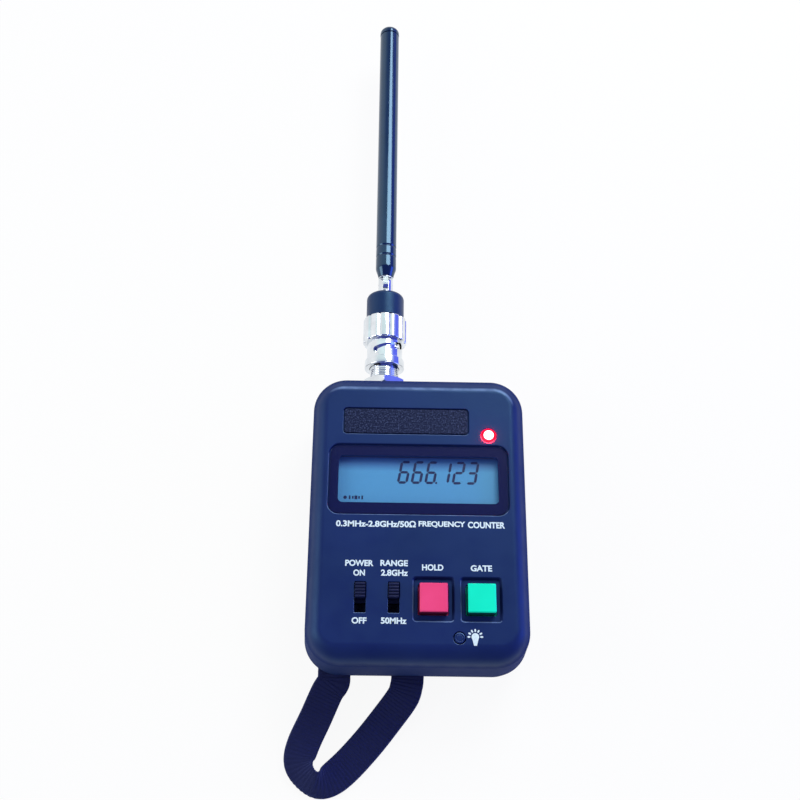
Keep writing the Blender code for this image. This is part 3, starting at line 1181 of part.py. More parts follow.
def inner_tubes():
    start = ELBOW_Y + TANG_COLLAR_START + TANG_PLUG_LENGTH + SEAT_GAP
    for number in range(2, TUBE_COUNT):
        radius = tube_radius(number)
        bore = radius - TUBE_WALL
        ring = [(bore, start), (radius, start), (radius, TUBE_BACK), (bore, TUBE_BACK)]
        turned(f"antenna_tube_{number}", ring, ROUND_SIDES, "Y", on_axis(0), CHROME, tube=True)
    radius = tube_radius(TUBE_COUNT)
    end = TUBE_BACK + TIP_SOCKET
    rod(f"antenna_tube_{TUBE_COUNT}", radius, start, end, "Y", on_axis(0), CHROME, ROUND_SIDES)


def antenna_tip():
    start = TUBE_BACK + SEAT_GAP
    skirt = start + TIP_SKIRT
    profile = [(0, start), (TIP_RADIUS, start)]
    for step in range(TIP_STEPS):
        angle = math.pi / 2 * step / TIP_STEPS
        profile.append((TIP_RADIUS * math.cos(angle), skirt + TIP_DOME * math.sin(angle)))
    profile.append((0, skirt + TIP_DOME))
    tip = turned("antenna_tip", profile, ROUND_SIDES, "Y", on_axis(0), BLACK_GLOSS)
    hole = tube_radius(TUBE_COUNT) + RUN_GAP
    low, high = TUBE_BACK - OVERRUN, TUBE_BACK + TIP_SOCKET + SEAT_GAP
    cut(tip, rod("tip_socket", hole, low, high, "Y", on_axis(0), sides=ROUND_SIDES))


def strap_slot_places():
    middle = STRAP_MIDDLE_X_SHARE * CASE_WIDTH
    return {"left": middle - STRAP_SPACING / 2, "right": middle + STRAP_SPACING / 2}


def bar_place():
    """Y and height of the bar: the webbing runs flat under it and turns up round it."""
    return -HALF_LENGTH + BAR_INSET, STRAP_HEIGHT + BAR_RADIUS + SEAT_GAP + STRAP_THICKNESS / 2


def bar_ends():
    slots = strap_slot_places()
    reach = STRAP_WIDTH / 2 + SEAT_GAP + BAR_HOLDER
    return slots["left"] - reach, slots["right"] + reach


def bar_holder_places():
    slots = strap_slot_places()
    reach = STRAP_WIDTH / 2 + SEAT_GAP + BAR_HOLDER / 2
    return slots["left"] - reach, slots["left"] + reach, slots["right"] - reach, slots["right"] + reach


def strap_bar():
    y, z = bar_place()
    start, end = bar_ends()
    rod("strap_bar", BAR_RADIUS, start, end, "X", (0, y, z), STEEL, TINY_SIDES)


def hook_stations(x, way):
    """Centre, side and face directions of the webbing where it turns round the bar, outwards from its end."""
    y, z = bar_place()
    radius = BAR_RADIUS + SEAT_GAP + STRAP_THICKNESS / 2
    stations = []
    for step in range(HOOK_STEPS + 1):
        angle = math.radians(HOOK_DEGREES) * (1 - step / HOOK_STEPS)
        away = Vector((0, math.sin(angle), -math.cos(angle)))
        centre = Vector((x, y, z)) + away * radius
        stations.append((centre, Vector((way, 0, 0)), -away))
    return stations


def curve_point(before, start, end, after, share):
    """A point between start and end on the smooth curve that also passes the two beside them."""
    square, cube = share * share, share**3
    return 0.5 * (
        2 * start
        + (end - before) * share
        + (2 * before - 5 * start + 4 * end - after) * square
        + (3 * start - before - 3 * end + after) * cube
    )


def loop_stations():
    """Centre, side and face directions of the webbing along its loop outside the case."""
    middle = STRAP_MIDDLE_X_SHARE * CASE_WIDTH
    knots = []
    for across, out, height, tilt in STRAP_ROUTE_SHARES:
        place = (middle + across * STRAP_SPACING, -HALF_LENGTH - out * STRAP_REACH, height * STRAP_HEIGHT)
        knots.append(Vector((*place, math.radians(tilt))))
    inside = Vector((0, STRAP_REACH * STRAP_ROUTE_SHARES[1][1], 0, 0))
    knots = [knots[0] + inside] + knots + [knots[-1] + inside]
    line = []
    for before, start, end, after in zip(knots, knots[1:], knots[2:], knots[3:]):
        for step in range(STRAP_STEPS):
            line.append(curve_point(before, start, end, after, step / STRAP_STEPS))
    line.append(knots[-2])
    stations = []
    for number, here in enumerate(line):
        ahead = line[min(number + 1, len(line) - 1)]
        behind = line[max(number - 1, 0)]
        along = (ahead - behind).to_3d().normalized()
        if number in (0, len(line) - 1):
            along = Vector((0, round(along.y), 0))
        side = along.cross(Vector((0, 0, 1))).normalized()
        face = side.cross(along).normalized()
        tilt = here[3]
        tilted = side * math.cos(tilt) + face * math.sin(tilt)
        stations.append((here.to_3d(), tilted, face * math.cos(tilt) - side * math.sin(tilt)))
    return stations


def wrist_strap():
    slots = strap_slot_places()
    right = hook_stations(slots["right"], -1)
    left = [(centre, -side, face) for centre, side, face in reversed(hook_stations(slots["left"], -1))]
    rings = []
    for centre, side, face in right + loop_stations() + left:
        across, up = side * STRAP_WIDTH / 2, face * STRAP_THICKNESS / 2
        rings.append([centre - across - up, centre + across - up, centre + across + up, centre - across + up])
    return lofted("wrist_strap", rings, WEBBING)


def build():
    clear_scene()
    front_shell()
    rear_shell()
    case_screws()
    board_screws()
    main_board()
    board_pieces()
    cells()
    charging_socket()
    display()
    nameplate()
    gate_led()
    slide_switches()
    push_buttons()
    lamp_button()
    bayonet_jack()
    coupling_nut()
    wave_washer()
    plug()
    collar()
    elbow()
    outer_tube()
    inner_tubes()
    antenna_tip()
    strap_bar()
    wrist_strap()


build()
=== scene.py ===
"""Looks of the handheld frequency counter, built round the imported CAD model.

It lies on its back. +Z leaves the front panel and +Y runs along the antenna.
"""

import json
import math

import bmesh
import bpy
from mathutils import Matrix, Vector

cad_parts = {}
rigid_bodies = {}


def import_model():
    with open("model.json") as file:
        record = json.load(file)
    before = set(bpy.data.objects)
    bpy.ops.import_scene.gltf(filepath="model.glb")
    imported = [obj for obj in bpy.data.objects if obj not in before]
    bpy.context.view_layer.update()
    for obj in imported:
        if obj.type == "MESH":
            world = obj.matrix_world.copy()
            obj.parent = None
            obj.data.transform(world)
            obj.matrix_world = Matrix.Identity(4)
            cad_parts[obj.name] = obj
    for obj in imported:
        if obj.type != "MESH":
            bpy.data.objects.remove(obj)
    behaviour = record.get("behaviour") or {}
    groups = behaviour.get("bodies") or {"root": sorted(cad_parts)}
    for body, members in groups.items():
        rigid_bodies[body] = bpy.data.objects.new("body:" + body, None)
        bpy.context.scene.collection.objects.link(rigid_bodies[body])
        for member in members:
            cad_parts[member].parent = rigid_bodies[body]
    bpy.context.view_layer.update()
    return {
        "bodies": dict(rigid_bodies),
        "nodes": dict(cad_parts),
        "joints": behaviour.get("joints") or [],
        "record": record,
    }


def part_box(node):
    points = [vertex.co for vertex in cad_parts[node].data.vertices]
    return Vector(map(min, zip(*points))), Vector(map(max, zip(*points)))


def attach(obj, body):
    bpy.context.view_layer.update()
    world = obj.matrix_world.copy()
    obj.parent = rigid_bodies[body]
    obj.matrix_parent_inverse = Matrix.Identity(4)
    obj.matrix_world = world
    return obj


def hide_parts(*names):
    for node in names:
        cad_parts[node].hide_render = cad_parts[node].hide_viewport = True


MM = 0.001
OVER = 1 * MM

# Camera, fitted to the photograph
CAMERA_PLACE = (-10.651 * MM, -95.116 * MM, 344.639 * MM)
CAMERA_TURN = (0.396707, -0.013892, 0.015966)
CAMERA_LENS = 48.909

# Case, as in the CAD
CASE_WIDTH = 68 * MM
CASE_LENGTH = 90 * MM
PANEL_Z = 31 * MM
CASE_WALL = 2.2 * MM
PLAN_RADIUS = 9 * MM
OUTER_RADIUS = 10.5 * MM
SIDE_DRAFT = 0.9 * MM
BACK_DRAFT = 1.1 * MM
LEAST_CORNER = 1.5 * MM
BACK_ROUND = 3.5 * MM
FRONT_BAND = 5.2 * MM
FRONT_DROP = 6.5 * MM
FRONT_ARC = math.radians(70)
REAR_TOP = 9.85 * MM
FRONT_START = 10.15 * MM
LIP_HEIGHT = 1.4 * MM
REBATE = 0.88 * MM
TONGUE = 1.08 * MM
SCREW_PLACES = [(x * MM, y * MM) for y in (30.5, -30.5) for x in (-27.2, 27.2)]
POST_PLACES = [(0.0, -39 * MM), (6.12 * MM, 39 * MM)]
BOARD_SEAT = 19.9 * MM
AXIS_X = -11.016 * MM
AXIS_Z = 15.5 * MM
SOCKET_X = 12.92 * MM
SOCKET_Z = 13.1 * MM

# Front panel
WINDOW = (0.0, 10.35 * MM, 55 * MM, 22.4 * MM, 3.4 * MM)
VIEW = (0.0, 10.6 * MM, 49 * MM, 15.1 * MM, 1.6 * MM)
PLATE = (-3.95 * MM, 29.2 * MM, 38.2 * MM, 7.95 * MM, 0.9 * MM)
LED_PLACE = (21.556 * MM, 24.795 * MM)
LED_RADIUS = 1.78 * MM
LED_FOOT = 31 * MM
LED_CROWN = 33.5 * MM
SLOTS = {"power": (-17 * MM, -25.92 * MM), "range": (-7.174 * MM, -25.92 * MM)}
BUTTONS = {"hold": (4.4 * MM, -26.28 * MM), "gate": (18.4 * MM, -26.28 * MM)}
BUTTON_SIZE = (8.2 * MM, 8.5 * MM)
LAMP_PLACE = (11.92 * MM, -37.449 * MM)
LAMP_RADIUS = 1.55 * MM
TEXT_Z = PANEL_Z
TEXT_RISE = 0.03 * MM
LETTER = 1.86 * MM
# Colour of the painted highlight laid on the case's upper edges.
EDGE_GLINT = (0.2, 0.3, 0.55)


# ---- mesh helpers


def link(name, mesh):
    made = bpy.data.objects.new(name, mesh)
    bpy.context.scene.collection.objects.link(made)
    return made


def add_mesh(name, points, faces):
    mesh = bpy.data.meshes.new(name)
    mesh.from_pydata([tuple(point) for point in points], [], faces)
    work = bmesh.new()
    work.from_mesh(mesh)
    bmesh.ops.recalc_face_normals(work, faces=work.faces)
    work.to_mesh(mesh)
    work.free()
    return link(name, mesh)


def rounded(width, length, radius, centre=(0, 0), steps=10):
    points = []
    for quarter, (side_x, side_y) in enumerate(((1, 1), (-1, 1), (-1, -1), (1, -1))):
        corner_x = centre[0] + side_x * (width / 2 - radius)
        corner_y = centre[1] + side_y * (length / 2 - radius)
        for step in range(steps + 1):
            angle = math.pi / 2 * (quarter + step / steps)
            points.append((corner_x + radius * math.cos(angle), corner_y + radius * math.sin(angle)))
    return points


def circle(radius, centre=(0, 0), steps=48):
    turns = [2 * math.pi * i / steps for i in range(steps)]
    return [(centre[0] + radius * math.cos(a), centre[1] + radius * math.sin(a)) for a in turns]


def lofted(name, rings, closed=False):
    count = len(rings[0])
    points = [point for ring in rings for point in ring]
    faces = []
    for level in range(len(rings) if closed else len(rings) - 1):
        here, there = level * count, (level + 1) % len(rings) * count
        for i in range(count):
            j = (i + 1) % count
            faces.append((here + i, here + j, there + j, there + i))
    if not closed:
        faces.append(tuple(reversed(range(count))))
        faces.append(tuple(range((len(rings) - 1) * count, len(rings) * count)))
    return add_mesh(name, points, faces)


def stacked(name, outline, levels):
    """A solid whose plan outline(grow) changes with height: levels are (grow, height)."""
    return lofted(name, [[(x, y, z) for x, y in outline(grow)] for grow, z in levels])


def lip_levels(floor, top, lip, steps=5):
    """Levels of a cutter that rounds the edge it leaves at the top."""
    levels = [(0, floor)]
    for step in range(steps + 1):
        angle = math.pi / 2 * step / steps
        levels.append((lip * (1 - math.cos(angle)), top - lip + lip * math.sin(angle)))
    return levels + [(lip, top + OVER)]


def dome_levels(bottom, top, edge, steps=5):
    """Levels of a plate with a rounded top edge."""
    levels = [(0, bottom)]
    for step in range(steps + 1):
        angle = math.pi / 2 * step / steps
        levels.append((-edge * (1 - math.cos(angle)), top - edge + edge * math.sin(angle)))
    return levels


def rect(place, steps=10):
    x, y, width, length, radius = place
    return lambda grow: rounded(width + 2 * grow, length + 2 * grow, max(radius + grow, 0.02 * MM), (x, y), steps)


AXES = {
    "X": Matrix(((0, 0, 1), (1, 0, 0), (0, 1, 0))),
    "Y": Matrix(((0, 1, 0), (0, 0, 1), (1, 0, 0))),
    "Z": Matrix(((1, 0, 0), (0, 1, 0), (0, 0, 1))),
}


def turned(name, profile, axis="Y", centre=(AXIS_X, 0, AXIS_Z), sides=64, tube=False):
    """(radius, along) spun about an axis. A tube's profile is a closed loop."""
    frame, centre = AXES[axis], Vector(centre)
    points, faces, rings = [], [], []
    for radius, along in profile:
        if radius == 0:
            rings.append([len(points)])
            points.append(centre + frame @ Vector((0, 0, along)))
            continue
        rings.append(list(range(len(points), len(points) + sides)))
        for i in range(sides):
            angle = 2 * math.pi * i / sides
            spoke = Vector((radius * math.cos(angle), radius * math.sin(angle), along))
            points.append(centre + frame @ spoke)
    pairs = list(zip(rings, rings[1:] + rings[:1])) if tube else list(zip(rings, rings[1:]))
    for here, there in pairs:
        for i in range(sides):
            j = (i + 1) % sides
            if len(here) == 1 and len(there) > 1:
                faces.append((here[0], there[j], there[i]))
            elif len(there) == 1 and len(here) > 1:
                faces.append((here[i], here[j], there[0]))
            elif len(here) > 1:
                faces.append((here[i], here[j], there[j], there[i]))
    return add_mesh(name, points, faces)


def box(name, low, high):
    xs, ys, zs = zip(low, high)
    points = [(x, y, z) for z in zs for y in ys for x in xs]
    faces = [(0, 2, 3, 1), (4, 5, 7, 6), (0, 1, 5, 4), (2, 6, 7, 3), (0, 4, 6, 2), (1, 3, 7, 5)]
    return add_mesh(name, points, faces)


def applied(piece):
    graph = bpy.context.evaluated_depsgraph_get()
    mesh = bpy.data.meshes.new_from_object(piece.evaluated_get(graph))
    piece.modifiers.clear()
    piece.data = mesh
    return piece


def boolean(target, tools, operation):
    for tool in tools:
        step = target.modifiers.new(tool.name, "BOOLEAN")
        step.operation = operation
        step.solver = "EXACT"
        step.object = tool
    applied(target)
    for tool in tools:
        bpy.data.objects.remove(tool)
    return target


def cut(target, *tools):
    return boolean(target, tools, "DIFFERENCE")


def join(target, *tools):
    return boolean(target, tools, "UNION")


def merged(name, pieces):
    """Several closed meshes as one object."""
    work = bmesh.new()
    for piece in pieces:
        piece.data.transform(piece.matrix_world)
        work.from_mesh(piece.data)
        bpy.data.objects.remove(piece)
    mesh = bpy.data.meshes.new(name)
    work.to_mesh(mesh)
    work.free()
    return link(name, mesh)


def bevelled(piece, width, segments=3, degrees=35):
    step = piece.modifiers.new("bevel", "BEVEL")
    step.width = width
    step.segments = segments
    step.limit_method = "ANGLE"
    step.angle_limit = math.radians(degrees)
    return applied(piece)


def shaded(piece, degrees=35):
    piece.data.shade_smooth()
    piece.data.set_sharp_from_angle(angle=math.radians(degrees))
    step = piece.modifiers.new("normals", "WEIGHTED_NORMAL")
    step.keep_sharp = True
    return piece


def place(piece, look, body, slot, replaces=(), degrees=35):
    """Finish a piece: its material, its shading, the body that it rides on and the nodes it stands for."""
    piece.data.materials.clear()
    piece.data.materials.append(look)
    shaded(piece, degrees)
    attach(piece, body)
    if replaces:
        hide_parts(*replaces)
    return piece


# ---- materials


class Look:
    """A node material with the Principled shader and a few short ways to add texture to it."""

    def __init__(self, name, colour, roughness, metallic=0.0, **sockets):
        self.material = bpy.data.materials.new(name)
        self.material.use_nodes = True
        self.nodes = self.material.node_tree.nodes
        self.links = self.material.node_tree.links
        self.shader = self.nodes["Principled BSDF"]
        self.set(Base_Color=(*colour, 1), Roughness=roughness, Metallic=metallic, **sockets)
        self.space = self.nodes.new("ShaderNodeTexCoord").outputs["Object"]

    def set(self, **sockets):
        for name, value in sockets.items():
            self.shader.inputs[name.replace("_", " ")].default_value = value
        return self

    def stretched(self, scale):
        node = self.nodes.new("ShaderNodeMapping")
        node.inputs["Scale"].default_value = scale
        self.links.new(self.space, node.inputs["Vector"])
        return node.outputs["Vector"]

    def noise(self, scale, detail=3.0, rough=0.5, vector=None):
        node = self.nodes.new("ShaderNodeTexNoise")
        node.inputs["Scale"].default_value = scale
        node.inputs["Detail"].default_value = detail
        node.inputs["Roughness"].default_value = rough
        self.links.new(vector or self.space, node.inputs["Vector"])
        return node.outputs["Fac"]

    def ramp(self, value, stops):
        node = self.nodes.new("ShaderNodeValToRGB")
        self.links.new(value, node.inputs["Fac"])
        items = node.color_ramp.elements
        while len(items) < len(stops):
            items.new(0.5)
        for item, (position, colour) in zip(items, stops):
            item.position = position
            item.color = (*colour, 1) if len(colour) == 3 else colour
        return node.outputs["Color"]

    def grey(self, value, low, high, start=0.35, end=0.65):
        return self.ramp(value, [(start, (low,) * 3), (end, (high,) * 3)])

    def stepped(self, value, low, high):
        """0 below low, 1 above high, and smooth between them."""
        node = self.nodes.new("ShaderNodeMapRange")
        node.interpolation_type = "SMOOTHSTEP"
        node.inputs["From Min"].default_value = low
        node.inputs["From Max"].default_value = high
        self.links.new(value, node.inputs["Value"])
        return node.outputs["Result"]

    def times(self, first, second):
        node = self.nodes.new("ShaderNodeMath")
        node.operation = "MULTIPLY"
        self.links.new(first, node.inputs[0])
        self.links.new(second, node.inputs[1])
        return node.outputs["Value"]

    def mixed(self, share, first, colour):
        """A colour laid over another by its share."""
        node = self.nodes.new("ShaderNodeMix")
        node.data_type = "RGBA"
        self.links.new(share, node.inputs["Factor"])
        self.links.new(first, node.inputs["A"])
        node.inputs["B"].default_value = (*colour, 1)
        return node.outputs["Result"]

    def into(self, socket, value):
        self.links.new(value, self.shader.inputs[socket])
        return self

    def bump(self, value, distance, strength=1.0):
        node = self.nodes.new("ShaderNodeBump")
        node.inputs["Distance"].default_value = distance
        node.inputs["Strength"].default_value = strength
        self.links.new(value, node.inputs["Height"])
        last = self.shader.inputs["Normal"]
        if last.is_linked:
            self.links.new(last.links[0].from_socket, node.inputs["Normal"])
        self.links.new(node.outputs["Normal"], last)
        return self


def plastic(name, dark, light, roughness, grain=2200, depth=0.012 * MM, **sockets):
    """Moulded plastic: fine spark-eroded grain, faint mottling and handling marks."""
    look = Look(name, dark, roughness, **sockets)
    look.into("Base Color", look.ramp(look.noise(60, 4), [(0.3, dark), (0.7, light)]))
    look.into("Roughness", look.grey(look.noise(140, 3), roughness - 0.06, roughness + 0.08))
    return look.bump(look.noise(grain, 2), depth).material


def metal(name, colour, roughness, scale=(400, 9000, 400), depth=0.0015 * MM):
    """Plated metal with fine turning lines across its length and slight cloudiness."""
    look = Look(name, colour, roughness, 1.0)
    darker = tuple(0.86 * c for c in colour)
    look.into("Base Color", look.ramp(look.noise(220, 3), [(0.35, darker), (0.65, colour)]))
    look.into("Roughness", look.grey(look.noise(300, 3), roughness * 0.7, roughness * 1.4))
    return look.bump(look.noise(1, 2, vector=look.stretched(scale)), depth).material


def case_look(name="case_plastic"):
    """Dark blue moulded plastic. Its grain spoils the mirror at a glancing angle, and its upper edges carry a painted
    highlight.
    """
    look = Look(name, (0.0085, 0.0155, 0.1), 0.42, Specular_IOR_Level=0.44, Specular_Tint=(0.3, 0.72, 1, 1))
    stops = [(0.3, (0.0075, 0.014, 0.09)), (0.7, (0.0095, 0.0172, 0.11))]
    plain = look.ramp(look.noise(45, 5), stops)
    lean = look.nodes.new("ShaderNodeVectorMath")
    lean.operation = "DOT_PRODUCT"
    lean.inputs[1].default_value = (0.3, 0.95, 0)
    look.links.new(look.nodes["Texture Coordinate"].outputs["Normal"], lean.inputs[0])
    axes = look.nodes.new("ShaderNodeSeparateXYZ")
    look.links.new(look.space, axes.inputs["Vector"])
    # Painted highlight: a light blue line, broken by noise, on edges near the panel top whose normals face +Y and a
    # little +X, toward the key light.
    near_panel = look.stepped(axes.outputs["Z"], PANEL_Z - 0.55 * MM, PANEL_Z - 0.2 * MM)
    facing_up = look.stepped(lean.outputs["Value"], 0.12, 0.3)
    wear_and_glint = look.times(look.times(near_panel, facing_up), look.grey(look.noise(220, 4), 0.35, 0.8))
    look.into("Base Color", look.mixed(wear_and_glint, plain, EDGE_GLINT))
    facing = look.nodes.new("ShaderNodeLayerWeight").outputs["Facing"]
    total = look.nodes.new("ShaderNodeMath")
    total.operation = "ADD"
    look.links.new(look.grey(look.noise(160, 4), 0.36, 0.48), total.inputs[0])
    look.links.new(look.grey(facing, 0.0, 0.6, 0.42, 0.76), total.inputs[1])
    look.into("Roughness", total.outputs["Value"])
    look.bump(look.noise(1500, 2), 0.02 * MM, 0.7)
    return look.bump(look.noise(5200, 1), 0.006 * MM, 0.6).material


def print_look(name, colour, roughness=0.5, gloss=0.5):
    look = Look(name, colour, roughness, Specular_IOR_Level=gloss)
    # In the print this is wear only: a darker tone at random.
    wear_and_glint = tuple(0.8 * c for c in colour)
    look.into("Base Color", look.ramp(look.noise(2500, 3), [(0.3, wear_and_glint), (0.5, colour)]))
    return look.bump(look.noise(3000, 2), 0.004 * MM).material


def pane_look():
    look = Look("window_plastic", (0.02, 0.04, 0.2), 0.05, Alpha=0.08, IOR=1.49)
    look.into("Roughness", look.grey(look.noise(90, 4), 0.03, 0.09))
    return look.material


def display_look():
    """Grey-blue liquid crystal glass with the polariser's faint speckle, and a painted shadow darkening its top band.
    """
    look = Look("display_face", (0.13, 0.5, 0.87), 0.3)
    space = look.stretched((14, 52, 1))
    depth = look.nodes.new("ShaderNodeSeparateXYZ")
    look.links.new(space, depth.inputs["Vector"])
    # Painted shadow: the stops from 0.72 up darken the top (+Y) band as if the window's upper edge shaded it.
    stops = [(0.16, (0.13, 0.49, 0.85)), (0.72, (0.13, 0.5, 0.87)), (0.84, (0.07, 0.26, 0.6)), (0.95, (0.03, 0.09, 0.38))]
    tone = look.ramp(depth.outputs["Y"], stops)
    mix = look.nodes.new("ShaderNodeMix")
    mix.data_type = "RGBA"
    mix.blend_type = "MULTIPLY"
    mix.inputs["Factor"].default_value = 0.25
    look.links.new(tone, mix.inputs["A"])
    look.links.new(look.noise(2600, 2), mix.inputs["B"])
    look.into("Base Color", mix.outputs["Result"])
    return look.bump(look.noise(900, 2), 0.003 * MM).material


def plate_look():
    """Speckled, faintly brushed blank metal foil."""
    look = Look("plate_foil", (0.01, 0.014, 0.05), 0.5, 0.1, Specular_IOR_Level=0.15, Specular_Tint=(0.6, 0.75, 1, 1))
    stops = [(0.36, (0.003, 0.005, 0.022)), (0.5, (0.01, 0.014, 0.045)), (0.66, (0.06, 0.08, 0.17))]
    look.into("Base Color", look.ramp(look.noise(2000, 4, 0.7), stops))
    look.into("Roughness", look.grey(look.noise(900, 3), 0.3, 0.55))
    return look.bump(look.noise(1, 2, vector=look.stretched((250, 5000, 250))), 0.004 * MM).material


def led_look():
    """Lit red lens: white hot over its crown, a deep red round its foot."""
    look = Look("led_lens", (0.8, 0.02, 0.06), 0.12, Emission_Strength=220)
    axes = look.nodes.new("ShaderNodeSeparateXYZ")
    look.links.new(look.space, axes.inputs["Vector"])
    reach = look.nodes.new("ShaderNodeMapRange")
    reach.inputs["From Min"].default_value = LED_FOOT
    reach.inputs["From Max"].default_value = LED_CROWN
    look.links.new(axes.outputs["Z"], reach.inputs["Value"])
    stops = [(0.16, (1.0, 0.0001, 0.0003)), (0.2, (0.03, 0.002, 0.002)), (0.26, (0.02, 0.014, 0.014))]
    look.into("Emission Color", look.ramp(reach.outputs["Result"], stops))
    look.into("Roughness", look.grey(look.noise(800, 2), 0.08, 0.16))
    return look.material


def button_look(name, dark, light, tint, skirt):
    """Satin cap plastic: a bright face, and painted shade on the sides, whose colour is the skirt argument."""
    look = Look(name, light, 0.42, Specular_IOR_Level=0.3, Specular_Tint=(*tint, 1))
    face = look.ramp(look.noise(90, 4), [(0.3, dark), (0.65, light)])
    axes = look.nodes.new("ShaderNodeSeparateXYZ")
    look.links.new(look.nodes["Texture Coordinate"].outputs["Normal"], axes.inputs["Vector"])
    # Painted shade: faces whose normal turns from upward take the dark skirt colour, as the pocket's shade would darken
    # them.
    under = look.nodes.new("ShaderNodeMath")
    under.operation = "SUBTRACT"
    under.inputs[0].default_value = 1.0
    look.links.new(look.stepped(axes.outputs["Z"], 0.15, 0.5), under.inputs[1])
    look.into("Base Color", look.mixed(under.outputs["Value"], face, skirt))
    look.into("Roughness", look.grey(look.noise(500, 3), 0.36, 0.5))
    return look.bump(look.noise(2400, 2), 0.008 * MM).material


def gloss_look():
    """Glossy black lacquer of the antenna, with faint lengthways polish marks."""
    look = Look("antenna_lacquer", (0.004, 0.011, 0.045), 0.12, Specular_IOR_Level=1.0, Specular_Tint=(0.42, 0.74, 1, 1))
    look.into("Base Color", look.ramp(look.noise(120, 3), [(0.3, (0.004, 0.011, 0.045)), (0.7, (0.006, 0.016, 0.06))]))
    look.into("Roughness", look.grey(look.noise(1, 3, vector=look.stretched((1500, 60, 1500))), 0.09, 0.19))
    return look.bump(look.noise(1, 2, vector=look.stretched((900, 40, 900))), 0.004 * MM).material


def webbing_look():
    """Ribbed nylon webbing: threads along the strap, crossed by the ribs of the mesh, with a soft sheen."""
    look = Look("webbing_nylon", (0.008, 0.011, 0.05), 0.78, Sheen_Weight=0.3, Sheen_Roughness=0.4)
    look.set(Sheen_Tint=(0.2, 0.28, 0.85, 1), Specular_IOR_Level=0.15)
    uv = look.nodes.new("ShaderNodeUVMap").outputs["UV"]
    threads = look.nodes.new("ShaderNodeTexWave")
    threads.bands_direction = "X"
    threads.inputs["Scale"].default_value = 3.4
    threads.inputs["Distortion"].default_value = 1.2
    threads.inputs["Detail Scale"].default_value = 2.0
    look.links.new(uv, threads.inputs["Vector"])
    fibres = look.noise(9, 3, vector=uv)
    tone = look.ramp(fibres, [(0.25, (0.006, 0.009, 0.05)), (0.75, (0.019, 0.026, 0.115))])
    look.into("Base Color", tone)
    look.bump(threads.outputs["Fac"], 0.03 * MM, 0.8)
    return look.bump(fibres, 0.02 * MM, 0.6).material


def board_look():
    look = Look("board_laminate", (0.02, 0.16, 0.07), 0.4)
    cells = look.nodes.new("ShaderNodeTexVoronoi")
    cells.inputs["Scale"].default_value = 320
    look.links.new(look.space, cells.inputs["Vector"])
    stops = [(0.0, (0.35, 0.3, 0.16)), (0.1, (0.03, 0.2, 0.09)), (0.35, (0.015, 0.13, 0.055))]
    look.into("Base Color", look.ramp(cells.outputs["Distance"], stops))
    return look.bump(cells.outputs["Distance"], 0.03 * MM).material


def cell_look():
    look = Look("cell_wrap", (0.08, 0.25, 0.14), 0.35)
    look.into("Base Color", look.ramp(look.noise(70, 3), [(0.3, (0.06, 0.2, 0.11)), (0.7, (0.09, 0.28, 0.16))]))
    return look.bump(look.noise(400, 2), 0.02 * MM).material


# ---- case


def case_ring(inset, height, draft=0.0, corner=PLAN_RADIUS):
    radius = max(corner - inset, LEAST_CORNER)
    outline = rounded(CASE_WIDTH - 2 * (inset + draft), CASE_LENGTH - 2 * inset, radius, steps=18)
    return [(x, y, height) for x, y in outline]


def outer_ring(inset, height):
    """The skin: its sides lean in a little on their way to the soft front edge."""
    straight = PANEL_Z - FRONT_DROP
    lean = min(max((height - FRONT_START) / (straight - FRONT_START), 0.0), 1.0)
    draft = SIDE_DRAFT * lean * (max(1 - inset / FRONT_BAND, 0.0) if height > straight else 1.0)
    back = BACK_DRAFT * max(1 - height / REAR_TOP, 0.0)
    return case_ring(inset + back, height, draft, OUTER_RADIUS)


def back_profile(inset, steps=12):
    radius = BACK_ROUND - inset
    turns = [math.pi / 2 * step / steps for step in range(steps + 1)]
    return [(inset + radius * (1 - math.sin(a)), BACK_ROUND - radius * math.cos(a)) for a in turns]


def front_profile(inset, ridge=0.0, steps=16):
    """Up the soft front edge to the panel. A ridge above 0 rounds the line where the two meet."""
    points = []
    for step in range(steps + 1):
        angle = FRONT_ARC * step / steps
        across = (FRONT_BAND - inset) * (1 - math.cos(angle)) / (1 - math.cos(FRONT_ARC))
        up = (FRONT_DROP - inset) * math.sin(angle) / math.sin(FRONT_ARC)
        points.append((inset + across, PANEL_Z - FRONT_DROP + up))
    if not ridge:
        return points
    kept = [point for point in points if point[0] < FRONT_BAND - ridge]
    start, middle, end = Vector(kept[-1]), Vector(points[-1]), Vector((FRONT_BAND + ridge, PANEL_Z))
    for step in range(1, 7):
        share = step / 6
        kept.append(tuple(start.lerp(middle, share).lerp(middle.lerp(end, share), share)))
    return kept


def rod(name, radius, low, high, centre, sides=32):
    return turned(name, [(0, low), (radius, low), (radius, high), (0, high)], "Z", (*centre, 0), sides)


def hole_along(name, radius, x, z, lip=0.0, sides=64):
    """A cutter through the top wall."""
    wall = CASE_LENGTH / 2
    profile = [(0, wall - CASE_WALL - OVER), (radius, wall - CASE_WALL - OVER), (radius, wall - lip)]
    for step in range(1, 5):
        angle = math.pi / 2 * step / 4
        profile.append((radius + lip * (1 - math.cos(angle)), wall - lip + lip * math.sin(angle)))
    profile += [(radius + lip, wall + OVER), (0, wall + OVER)]
    return turned(name, profile, "Y", (x, 0, z), sides)


